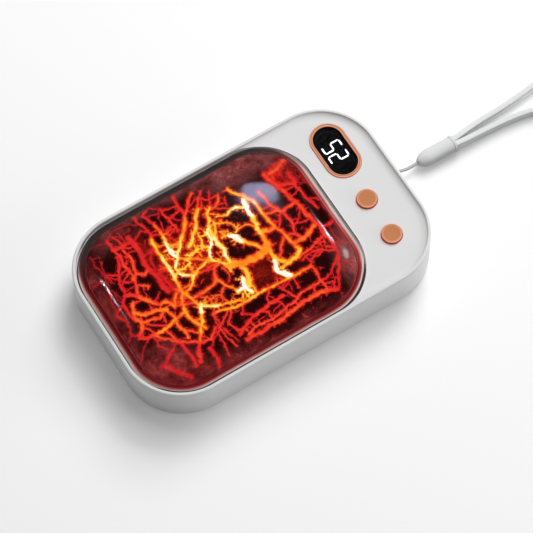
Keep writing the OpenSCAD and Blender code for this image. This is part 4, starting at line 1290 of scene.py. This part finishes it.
    (0.5, 0.5, (5.8, -35), (8.4, -35.6)),
    (0.9, 0.46, (10.4, -36.8), (13, -36.3), (16, -35.4)),
    (1.2, 0.3, (16, -35.4), (20.4, -35), (25, -35)),
    (1.3, 0.5, (-2.4, -40.6), (0.6, -42.2), (2.6, -42.7), (4.6, -41.8), (7, -43.2)),
    (1.2, 0.37, (7, -43.2), (8.6, -44.7), (9.9, -43), (10.1, -40.2)),
    (1.0, 0.34, (-4.4, -43), (-1, -43.4), (3, -43)),
    (0.6, 0.3, (-0.8, -32.4), (0.6, -34.6), (2.4, -34.4)),
    (1.0, 0.2, (-3.6, -43.4), (-1.6, -47), (2, -45.4), (6.4, -46.4), (7.6, -44.6)),
    (0.6, 0.16, (6.4, -46.4), (7.6, -49.4)),
    (0.5, 0.22, (10.4, -42.4), (13, -46.4), (15.4, -49)),
    (0.5, 0.24, (10.6, -41), (14, -41.4), (17.4, -38.6), (16, -35.8)),
    (1.2, 0.25, (17.4, -38.6), (20, -43), (25, -40)),
    (1.4, 0.24, (22.6, -28.8), (28.6, -29)),
    (1.6, 0.22, (19.6, -44), (23.6, -40.6), (27, -38)),
    (0.5, 0.2, (-13.6, -44.6), (-14, -48), (-11.6, -50)),
)


def fractal(points, random, step=1.3, rough=0.11):
    """A polyline split by midpoints that wander sideways."""
    points = np.array(points, float)
    while True:
        spans = np.diff(points, axis=0)
        long = np.hypot(*spans.T)
        if long.max() < step:
            return points
        drift = random.uniform(-rough, rough, len(spans)) * (long > step * 0.5)
        middles = points[:-1] + spans / 2 + np.column_stack([-spans[:, 1], spans[:, 0]]) * drift[:, None]
        merged = np.empty((len(points) + len(middles), 2))
        merged[0::2], merged[1::2] = points, middles
        points = merged


def beside(px, py, ux, uy, start_width, end_width):
    """Distance from a place to the edge of a segment that runs along u, and the share along it."""
    t = np.clip((px * ux + py * uy) / (ux * ux + uy * uy), 0, 1)
    return np.hypot(px - ux * t, py - uy * t) - (start_width + (end_width - start_width) * t) / 2, t


class Crackle:
    """The cracks of the plate as short segments, each with its widths and heats at both ends.

    The main fissures are laid out one by one. Side cracks leave them square and run until they meet
    another, as they do in drying mud, and thin spurs grow from the hot ones. All in millimetres."""

    SEED = 7
    SIDE_CRACKS, SPURS = 110, 260
    # How near another crack a walk has to come to meet it
    MEETS = 0.05
    # Half width of the strip of plate that side cracks may end in without meeting another
    INNER_HALF = 32
    # How fast the pull of a crack's heat falls off, per millimetre
    PULL = 3.2

    def __init__(self):
        self.random = np.random.RandomState(self.SEED)
        self.segments = []
        for width, heat, *points in FISSURES:
            self.lay(fractal(points, self.random), width, width, heat, heat)
        self.grow_side_cracks(self.SIDE_CRACKS)
        self.grow_spurs(self.SPURS)
        self.table = np.array(self.segments)

    def lay(self, points, width, end_width, heat, end_heat):
        """Adds a polyline whose width and heat run from one end to the other."""
        count = len(points)
        share = np.linspace(0.0, 1.0, count)
        widths = (width + (end_width - width) * share) * self.random.uniform(0.72, 1.2, count)
        heats = heat + (end_heat - heat) * share + self.random.uniform(-0.04, 0.04, count)
        for i in range(count - 1):
            ends = (*points[i], *points[i + 1])
            self.segments.append((*ends, widths[i], widths[i + 1], heats[i], heats[i + 1]))

    def clearance(self, place, table):
        """Distance from a place to the nearest crack's edge."""
        ax, ay, bx, by, wa, wb = table[:, :6].T
        edge, _ = beside(place[0] - ax, place[1] - ay, bx - ax, by - ay, wa, wb)
        return edge.min()

    def walk(self, start, heading, reach, step, wander, table=None):
        """A wandering line; with a table it stops where it meets another crack."""
        points = [np.array(start)]
        for i in range(int(reach / step)):
            heading += self.random.uniform(-wander, wander)
            points.append(points[-1] + step * np.array([math.cos(heading), math.sin(heading)]))
            if table is not None and i > 1 and self.clearance(points[-1], table) < self.MEETS:
                return points, True
        return points, False

    def off(self, segment):
        """A start on one side of a segment and the heading away from it."""
        ax, ay, bx, by, _, _, heat, _ = segment
        side = self.random.choice((-1.0, 1.0))
        heading = math.atan2(by - ay, bx - ax) + side * QUARTER + self.random.uniform(-0.5, 0.5)
        return (ax, ay), heading, heat

    def grow_side_cracks(self, count):
        """Cracks from one fissure to the next, and short blind ones from the cool fissures."""
        reach, step, wander, fewest, blind = 9.0, 0.45, 0.32, 4, 9
        for _ in range(count):
            table = np.array(self.segments)
            segment = self.segments[self.random.randint(len(self.segments))]
            start, heading, heat = self.off(segment)
            points, met = self.walk(start, heading, reach, step, wander, table)
            if met and len(points) > fewest:
                width = self.random.uniform(0.28, 0.6)
                self.lay(np.array(points), width * 1.3, width, heat * 0.92, heat * 0.85)
            elif not met and heat < 0.5 and abs(points[-1][0]) < self.INNER_HALF:
                self.lay(np.array(points[:blind]), 0.55, 0.05, heat * 0.9, heat * 0.7)

    def grow_spurs(self, count):
        """Short, tapering hairs, most of them on the hottest cracks."""
        step, wander, fewest = 0.3, 0.45, 2
        heats = np.array([segment[6] for segment in self.segments])
        odds = np.clip(heats, 0.1, 1.0) ** 3
        picks = self.random.choice(len(self.segments), count, p=odds / odds.sum())
        for pick in picks:
            start, heading, heat = self.off(self.segments[pick])
            reach = self.random.uniform(0.7, 1.5 + 1.6 * heat)
            points, _ = self.walk(start, heading, reach, step, wander)
            if len(points) > fewest:
                self.lay(np.array(points), 0.5, 0.02, heat * 0.95, heat * 0.75)

    def fields(self, x, y):
        """Distance to the nearest crack's edge and the heat there, at each place."""
        reach, far = 4.0, 9.0
        gap = np.full(x.shape, far)
        weight = np.full(x.shape, 1e-9)
        warm = np.zeros(x.shape)
        for ax, ay, bx, by, wa, wb, ha, hb in self.table:
            near = np.flatnonzero(
                (x > min(ax, bx) - reach) & (x < max(ax, bx) + reach)
                & (y > min(ay, by) - reach) & (y < max(ay, by) + reach))
            edge, t = beside(x[near] - ax, y[near] - ay, bx - ax, by - ay, wa, wb)
            gap[near] = np.minimum(gap[near], edge)
            pull = np.exp(-self.PULL * edge)
            weight[near] += pull
            warm[near] += pull * (ha + (hb - ha) * t)
        return gap, warm / weight


def to_outline(u, v, half, y0, y1, radius):
    """Carries places on a square's edge, or inside it, to a rounded rectangle."""
    tall, middle = (y1 - y0) / 2, (y0 + y1) / 2
    size = np.maximum(np.maximum(np.abs(u), np.abs(v)), 1e-9)
    eu, ev = u / size, v / size
    on_side = np.abs(eu) >= np.abs(ev)
    along = np.where(on_side, np.abs(ev) * tall - (tall - radius), np.abs(eu) * half - (half - radius))
    turn = np.clip(along / radius, 0.0, 1.0) * QUARTER / 2
    turn = np.where(on_side, turn, QUARTER - turn)
    corner = along > 0
    x = np.where(corner, half - radius + radius * np.cos(turn), np.abs(eu) * half)
    y = np.where(corner, tall - radius + radius * np.sin(turn), np.abs(ev) * tall)
    return np.sign(eu) * x * size, middle + np.sign(ev) * y * size


def from_middle(x, y, middle, halves):
    """Distance from the middle of an ellipse, 1 on its edge."""
    return np.hypot((x - middle[0]) / halves[0], (y - middle[1]) / halves[1])


def eased(share):
    """A smooth step from 0 to 1."""
    t = np.clip(share, 0.0, 1.0)
    return t * t * (3 - 2 * t)


class WARMER_OT_plate(bpy.types.Operator):
    """Makes the cracked plate that glows under the window"""

    bl_idname = "warmer.plate"
    bl_label = "Cracked plate"

    COLUMNS, ROWS = 232, 300
    # Insets of the rings under the plate, past its edge
    UNDER = (0, 0.6, 1.5, 3, 5, 8, 12, 17, 22.0)
    # The crust rises over ROUNDED from a crack's edge, and a crack sinks over STEEP
    RISE, ROUNDED, SINK, STEEP = 0.16, 0.9, 0.32, 0.35
    # Width over which the relief fades in from the plate's edge
    FADE = 2.0
    # Painted milky light round the plate's border: middle, half sizes, strength, and tone from wine 0 to
    # mauve 1
    VEILS = (
        ((-26.0, 10), (7.0, 15), 1.0, 1.0), ((-30, -14), (5, 20), 0.6, 0.75),
        ((-20, 28), (9, 8), 0.6, 0.1), ((-8, -52), (30, 8), 0.75, 0.1),
        ((25, -45), (13, 13), 0.95, 0.12), ((31.5, -24), (6, 18), 0.8, 0.15),
        ((32, 8), (5, 20), 0.6, 0.15), ((21, 25.5), (12, 7), 1.35, 1.0),
        ((2, 29.5), (26, 4), 0.65, 0.1), ((-27, -36), (7, 12), 0.45, 0.5))
    # Red light between the cracks: middle, half sizes, strength
    GLOWS = (
        ((-9, -28.2), (13, 3.6), 0.75), ((-7, -17), (12, 9), 0.7), ((-16, 21), (5.5, 7), 1.0),
        ((10, -2.5), (6, 6.5), 0.75), ((-6, -3), (8, 5), 0.2), ((10, -27), (10, 5), 0.3),
        ((-17, -6), (5, 6), 0.35), ((24, -38), (9, 5), 0.5), ((4, 8), (16, 5), 0.3),
        ((0, 15), (14, 6), 0.12))
    # Middle and half width of the heart, where the crust has no fine cracks
    HEART = ((-1.5, 1.0), (18.0, 9.5))

    def execute(self, context):
        sizes = context.scene.window_sizes
        deep = (sizes.skin + sizes.plate_gap) / MM
        thick = sizes.plate / MM
        edge = sizes.flange / MM + deep
        top, bottom = dome_section(sizes, deep), dome_section(sizes, deep + thick)
        u, v = np.meshgrid(np.linspace(-1, 1, self.COLUMNS + 1), np.linspace(-1, 1, self.ROWS + 1))
        u, v = u.ravel(), v.ravel()
        x, y = to_outline(u, v, *window_rim(edge))
        inset = self.inset_at(x, y, edge)
        gap, heat = Crackle().fields(x, y)
        fade = np.clip((inset - edge) / self.FADE, 0.0, 1.0)
        height = np.interp(inset, *top) + fade * self.relief(gap)
        points = [np.column_stack([x, y, height])]
        faces = self.quads()

        # The skirt and the underside, ring by ring from the grid's edge
        border = self.border()
        under = [(edge, PLATE_FOOT), (edge + thick, PLATE_FOOT)]
        under += [(s, np.interp(s, *bottom)) for s in edge + thick + np.array(self.UNDER)]
        upper, count = border, len(border)
        for s, z in under:
            ring = np.column_stack(to_outline(u[border], v[border], *window_rim(s)))
            lower = np.arange(count) + sum(len(p) for p in points)
            points.append(at_height(ring, z))
            faces += [(upper[i - 1], lower[i - 1], lower[i], upper[i]) for i in range(count)]
            upper = lower
        faces.append(tuple(upper[::-1]))
        plate = mesh_object("glow_plate", np.vstack(points), faces,
                            glowing_crackle(context.scene.warmer_colours.crust), 60)
        veil, tone = self.veil(x, y)
        # What the material reads: name, values on the top, value elsewhere
        fields = (("gap", gap, 1.0), ("ember", heat, 0.1), ("hair", self.hair(x, y), 0.0),
                  ("veil", veil, 0.9), ("tone", tone, 0.0), ("bath", self.bath(x, y), 0.0))
        for name, values, rest in fields:
            kept = np.full(len(plate.data.vertices), rest, np.float32)
            kept[:len(values)] = values
            plate.data.attributes.new(name, "FLOAT", "POINT").data.foreach_set("value", kept)
        rides(plate, "cracked_plate")
        return {"FINISHED"}

    def veil(self, x, y):
        """How much painted milky light the border has at each place, and in which tone."""
        clear, weight, tones = np.ones(x.shape), np.full(x.shape, 1e-6), np.zeros(x.shape)
        for middle, halves, share, tone in self.VEILS:
            milk = share * eased(1.35 - from_middle(x, y, middle, halves))
            clear *= 1 - milk
            weight += milk
            tones += milk * tone
        return 1 - clear, tones / weight

    def bath(self, x, y):
        """How much red light fills the cells at each place."""
        total = np.zeros(x.shape)
        for middle, halves, share in self.GLOWS:
            total += share * eased(1.4 - from_middle(x, y, middle, halves))
        return np.minimum(total, 1.0)

    def hair(self, x, y):
        """How many fine cracks there are at each place: none in the heart."""
        return np.clip(from_middle(x, y, *self.HEART) * 2.0 - 1.6, 0.0, 1.0)

    def inset_at(self, x, y, edge):
        """How far in from the window's outline each place is, found by halving."""
        low, high = np.full(x.shape, edge), np.full(x.shape, WINDOW_HIGH[0] - 0.01)
        for _ in range(24):
            middle = (low + high) / 2
            half, y0, y1, radius = window_rim(middle)
            over_x = np.abs(x) - half + radius
            over_y = np.abs(y - (y0 + y1) / 2) - (y1 - y0) / 2 + radius
            outside = (np.maximum(over_x, over_y) - radius > 0) | (
                np.hypot(np.maximum(over_x, 0), np.maximum(over_y, 0)) > radius)
            high = np.where(outside, middle, high)
            low = np.where(outside, low, middle)
        return low

    def relief(self, gap):
        """Height of the crust: low in the cracks, with eased edges, highest inside the cells."""
        crust = self.RISE * np.clip(gap / self.ROUNDED, 0.0, 1.0) ** 0.6
        return crust - self.SINK * np.clip(-gap / self.STEEP, 0.0, 1.0)

    def quads(self):
        """The faces of the grid on top."""
        across = self.COLUMNS + 1
        return [(i, i + 1, i + 1 + across, i + across)
                for row in range(self.ROWS) for i in range(row * across, row * across + self.COLUMNS)]

    def border(self):
        """The grid's edge, anticlockwise."""
        across, up = self.COLUMNS + 1, self.ROWS + 1
        index = np.arange(across * up).reshape(up, across)
        return np.concatenate([index[0, :-1], index[:-1, -1], index[-1, :0:-1], index[:0:-1, 0]])


# Display, buttons and screws

class WARMER_OT_display(bpy.types.Operator):
    """Makes the copper ring round the display and the lit strokes of its digits"""

    bl_idname = "warmer.display"
    bl_label = "Display ring and digits"

    # Width of the ring and height of its rounded brow
    BAND, BROW = 1.1, 0.42
    # Share of its width that each stroke of the digits keeps, and how strongly it shines
    KEEP = 0.7
    GLOW = 5.0

    def execute(self, context):
        foot, brow_z, half = RING_LOW[2], RING_HIGH[2] - self.BROW, self.BAND / 2
        section = [(0.0, foot), (0.0, brow_z)]
        section += [(half - half * x, brow_z + self.BROW * z) for x, z in arc(0.0, 0.0, 1.0, 8, 172, 16)]
        section += [(self.BAND, brow_z), (self.BAND, foot)]
        rings = [at_height(ring_outline(inset, 40), z) for inset, z in section]
        copper = copper_trim(context.scene.warmer_colours)
        ring = mesh_object("display_ring_band", *hoop(rings), copper, 40)
        rides(ring, "display_ring")
        rides(self.strokes(), "lit_digits")
        return {"FINISHED"}

    def strokes(self):
        """The lit strokes of the digits, each drawn in across its length."""
        digits = bmesh.new()
        digits.from_mesh(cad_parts["lit_digits"].data)
        bmesh.ops.remove_doubles(digits, verts=digits.verts, dist=1e-7)
        digits.verts.ensure_lookup_table()
        left = set(digits.verts)
        while left:
            stroke, waiting = set(), [min(left, key=lambda vertex: vertex.index)]
            while waiting:
                vertex = waiting.pop()
                if vertex not in stroke:
                    stroke.add(vertex)
                    waiting += [edge.other_vert(vertex) for edge in vertex.link_edges]
            left -= stroke
            places = np.array([vertex.co for vertex in stroke])
            low, high = places.min(axis=0), places.max(axis=0)
            across = int(np.argmin((high - low)[:2]))
            middle = (low[across] + high[across]) / 2
            for vertex in stroke:
                vertex.co[across] = middle + (vertex.co[across] - middle) * self.KEEP
        mesh = bpy.data.meshes.new("digit_strokes")
        digits.to_mesh(mesh)
        digits.free()
        made = bpy.data.objects.new("digit_strokes", mesh)
        bpy.context.scene.collection.objects.link(made)
        mesh.materials.append(lit("lit_digit", PALETTE["clear"], self.GLOW))
        return made


class WARMER_OT_buttons(bpy.types.Operator):
    """Makes the two push buttons"""

    bl_idname = "warmer.buttons"
    bl_label = "Buttons"

    def execute(self, context):
        finish = copper_trim(context.scene.warmer_colours)
        radius = button_radius()
        core, flange_t, brow, dish = 0.4, 0.8, 0.5, 0.13
        for name, (low, high) in BUTTONS.items():
            flange, flange_z, top = (high[0] - low[0]) / 2, low[2] + flange_t, high[2]
            profile = [(core, low[2]), (flange, low[2]), (flange, flange_z), (radius, flange_z)]
            profile += arc(radius - brow, top - brow, brow, 0, 78, 8)
            # The top dips a little inside its rounded edge
            profile += [(radius - brow, top - 0.02), (radius - 0.62, top - 0.1), (radius - 0.9, top - dish),
                        (core, top - dish)]
            cap = lathe(name + "_cap", (low[:2] + high[:2]) / 2, profile, finish, 72)
            rides(cap, name, BUTTON_BODIES[name])
        return {"FINISHED"}


class WARMER_OT_screws(bpy.types.Operator):
    """Makes the four cross-head screws of the rear cover"""

    bl_idname = "warmer.screws"
    bl_label = "Cover screws"

    # Radii of head and shank, thickness of the head, pitch of the thread
    HEAD, SHANK, HEAD_T, PITCH = 1.8, 1.0, 0.8, 0.5

    def execute(self, context):
        steel = metal("screw_steel", PALETTE["steel"], 0.28)
        screw = self.screw(steel)
        x, y = SCREWS_HIGH[0] - self.HEAD, SCREWS_HIGH[1] - self.HEAD
        made = line_object("cover_screw_set", [(-x, -y, 0.0), (-x, y, 0.0), (x, -y, 0.0), (x, y, 0.0)], 0)
        run_tree(made, scatter_tree(), Piece=screw, Material=steel)
        bpy.data.objects.remove(screw)
        rides(made, "cover_screws")
        return {"FINISHED"}

    def screw(self, steel):
        """One screw, head down, on the Z axis."""
        core, tip, thread, lead_out = 0.3, 0.3, 0.18, 0.6
        foot, top = SCREWS_LOW[2], SCREWS_HIGH[2]
        head, shank, neck = self.HEAD, self.SHANK, foot + self.HEAD_T
        profile = [(core, foot), (head - 0.45, foot), (head - 0.12, foot + 0.14), (head, foot + 0.34),
                   (head, neck), (shank, neck)]
        for row in range(int((top - neck - lead_out) / self.PITCH)):
            z = neck + self.PITCH * row
            profile += [(shank, z + 0.12), (shank - thread, z + 0.3), (shank, z + self.PITCH)]
        profile += [(shank - tip, top), (core, top)]
        made = lathe("screw", (0, 0), profile, steel, 32)
        half_wide, half_long, corner, deep = 0.24, 1.1, 0.1, 0.5
        outline = rounded_outline(half_wide, -half_long, half_long, corner, 3)
        for turn in (0, QUARTER):
            slot = lofted("tool", [at_height(outline, z) for z in (foot - deep, foot + deep)], steel)
            slot.data.transform(Matrix.Rotation(turn, 4, "Z"))
            cut_or_join(made, slot)
        return made


# Inner pieces

class WARMER_OT_inside(bpy.types.Operator):
    """Gives every CAD piece that stays its finish"""

    bl_idname = "warmer.inside"
    bl_label = "Inner pieces"

    def finishes(self, colours):
        """Finish for each CAD node that isn't replaced."""
        black = moulded("black_plastic", PALETTE["black"], 0.5)
        steel = metal("steel", PALETTE["steel"], 0.28)
        chip = moulded("chip_resin", PALETTE["chip"], 0.55, 0.00002)
        film = heater_foil("flex_film", PALETTE["kapton"])
        black_wire = moulded("black_wire", PALETTE["black"], 0.35)
        white_wire = moulded("white_wire", PALETTE["white"], 0.35)
        return {
            "rear_cover": moulded("cover_shell", colours.shell, 0.44, 0.00002),
            "light_tray": moulded("diffuser", PALETTE["milk"], 0.55),
            "lamp_board": circuit_board("lamp_mask", PALETTE["chalk"]),
            "lamps": lit("lamp", PALETTE["amber"], 1.0),
            "lamp_ribbon": film,
            "display_window": clear_plastic("smoked_pane", PALETTE["smoke"], 1.2, 0.0, 0.5),
            "display_gasket": black,
            "display_block": moulded("display_black", PALETTE["soot"], 0.6),
            "power_plunger": black,
            "mode_plunger": black,
            "power_switch": steel,
            "mode_switch": steel,
            "main_board": circuit_board("circuit_board", PALETTE["board"]),
            "board_screws": steel,
            "socket_shell": steel,
            "socket_tongue": black,
            "controller_chip": chip,
            "charger_chip": chip,
            "power_choke": moulded("ferrite", PALETTE["ferrite"], 0.7, 0.00003),
            "capacitor_row": moulded("capacitor", PALETTE["ceramic"], 0.4),
            "battery_plug": moulded("connector", PALETTE["ivory"], 0.45),
            "battery_cell": cell_pouch(PALETTE["pouch"]),
            "cell_guard": film,
            "red_lead": moulded("red_wire", PALETTE["red"], 0.35),
            "black_lead": black_wire,
            "battery_tape": foam("tape", PALETTE["tape"]),
            "battery_pad": foam("foam", PALETTE["foam"]),
            "heater_film": film,
            "heater_leads": white_wire,
            "heat_spreader": metal("spreader", PALETTE["aluminium"], 0.3),
            "heat_sensor": moulded("sensor", PALETTE["resin"], 0.2),
            "sensor_lead": black_wire,
            "lanyard_pin": steel,
        }

    def execute(self, context):
        for node, finish in self.finishes(context.scene.warmer_colours).items():
            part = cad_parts[node]
            for place in part.material_slots:
                place.material = finish
        return {"FINISHED"}


# Stage

class WARMER_OT_stage(bpy.types.Operator):
    """Makes the pale table, the lamps and the white surroundings"""

    bl_idname = "warmer.stage"
    bl_label = "Stage"

    # Soft lamps: name, place and size in metres, power in watts
    LAMPS = (
        ("key", (-0.28, 0.5, 1.1), 0.75, 6.8),
        ("end", (-0.55, 0.75, 0.8), 0.6, 8.3),
        ("fill", (0.75, 0.95, 0.35), 0.6, 3.8))
    # Small lamps that only the window reflects: place, width, height, power, tint
    GLINTS = (
        ((-0.418, 0.26, 0.9), 0.066, 0.034, 12.0, (0.8, 0.72, 1.0)),
        ((-0.338, 0.511, 0.818), 0.038, 0.034, 34.0, (1.0, 0.84, 0.94)),
        ((-0.421, -0.302, 0.891), 0.07, 0.08, 48.0, (1.0, 0.72, 0.76)),
        ((-0.18, 0.63, 0.78), 0.11, 0.14, 80.0, (1.0, 1.0, 0.95)))
    WHITE = (1.0, 1.0, 1.0, 1.0)
    # Strength of the surroundings' light on surfaces
    AMBIENT = 0.16
    PAPER = (0.86, 0.86, 0.86, 1.0)
    TABLE_HALF = 3000.0

    def execute(self, context):
        scene = context.scene
        scene.view_settings.view_transform = "Standard"
        self.make_world(scene)
        self.make_table()
        for name, place, size, power in self.LAMPS:
            self.lamp(scene, name, place, size, power)
        self.glints(scene)
        return {"FINISHED"}

    def glints(self, scene):
        """The bright marks on the window: each lamp lights nothing else."""
        mirror = bpy.data.collections.new("glint_mirror")
        mirror.objects.link(bpy.data.objects["window_dome"])
        for place, wide, tall, power, tint in self.GLINTS:
            made = self.lamp(scene, "glint", place, wide, power, tint, tall)
            made.visible_glossy = True
            made.visible_diffuse = False
            made.data.cycles.max_bounces = 0
            made.light_linking.receiver_collection = mirror

    def make_world(self, scene):
        """White to the camera and in reflections, and a plain grey light on surfaces."""
        world = bpy.data.worlds.new("surroundings")
        s = Shader("surroundings", world)
        soft, full = (
            s.node("Background", {}, {"Color": self.WHITE, "Strength": strength})
            for strength in (self.AMBIENT, 1.0))
        both = s.node("MixShader", {}, {0: s.seen(), 1: soft, 2: full})
        s.node("OutputWorld", {}, {"Surface": both})
        scene.world = world

    def make_table(self):
        """A pale table that keeps the object's shadow but looks white, the more so far away."""
        s = Shader("table")
        x, y, _ = s.axes(s.place())
        away = (x ** 2.0 + y ** 2.0) ** 0.5
        strength = s.seen() * away.between(0.3, 1.2, 0.15, 1.0)
        lift = s.node("Emission", {}, {"Color": self.WHITE, "Strength": strength})
        paper = s.node("BsdfDiffuse", {}, {"Color": self.PAPER})
        both = s.node("AddShader", {}, {0: lift, 1: paper})
        s.node("OutputMaterial", {}, {"Surface": both})
        half = self.TABLE_HALF
        corners = [(-half, -half, 0), (half, -half, 0), (half, half, 0), (-half, half, 0)]
        mesh_object("table", corners, [(0, 1, 2, 3)], s.owner)

    def lamp(self, scene, name, place, size, power, tint=(1.0, 1.0, 1.0), tall=None):
        """A lamp that faces the object and shows in no reflection, square unless tall is given."""
        data = bpy.data.lights.new(name, "AREA")
        data.energy = power
        data.color = tint
        data.size = size
        if tall:
            data.shape = "RECTANGLE"
            data.size_y = tall
        made = bpy.data.objects.new(name, data)
        made.location = place
        made.rotation_mode = "QUATERNION"
        made.rotation_quaternion = Vector(place).to_track_quat("Z", "Y")
        made.visible_glossy = False
        made.visible_transmission = False
        scene.collection.objects.link(made)
        return made


# Sidebar and start

class WARMER_PT_panel(bpy.types.Panel):
    """Lists the warmer's pieces in the sidebar"""

    bl_idname = "WARMER_PT_panel"
    bl_label = "Hand Warmer"
    bl_space_type = "VIEW_3D"
    bl_region_type = "UI"
    bl_category = "Hand Warmer"

    def draw(self, context):
        scene = context.scene
        for group in (scene.case_sizes, scene.window_sizes, scene.lanyard_sizes, scene.warmer_colours):
            column = self.layout.box().column()
            for name in group.__annotations__:
                column.prop(group, name)
        for operator in OPERATORS:
            self.layout.operator(operator.bl_idname)


GROUPS = {
    "case_sizes": CaseSizes, "window_sizes": WindowSizes, "lanyard_sizes": LanyardSizes,
    "warmer_colours": WarmerColours}
OPERATORS = (
    WARMER_OT_camera, WARMER_OT_lanyard, WARMER_OT_housing, WARMER_OT_window, WARMER_OT_plate,
    WARMER_OT_display, WARMER_OT_buttons, WARMER_OT_screws, WARMER_OT_inside, WARMER_OT_stage)


def register():
    for group in (*GROUPS.values(), *OPERATORS, WARMER_PT_panel):
        bpy.utils.register_class(group)
    for name, group in GROUPS.items():
        setattr(bpy.types.Scene, name, bpy.props.PointerProperty(type=group))


def unregister():
    for name in GROUPS:
        delattr(bpy.types.Scene, name)
    for group in (WARMER_PT_panel, *reversed(OPERATORS), *GROUPS.values()):
        bpy.utils.unregister_class(group)


def main():
    register()
    for operator in OPERATORS:
        family, name = operator.bl_idname.split(".")
        getattr(getattr(bpy.ops, family), name)()


if __name__ == "__main__":
    main()
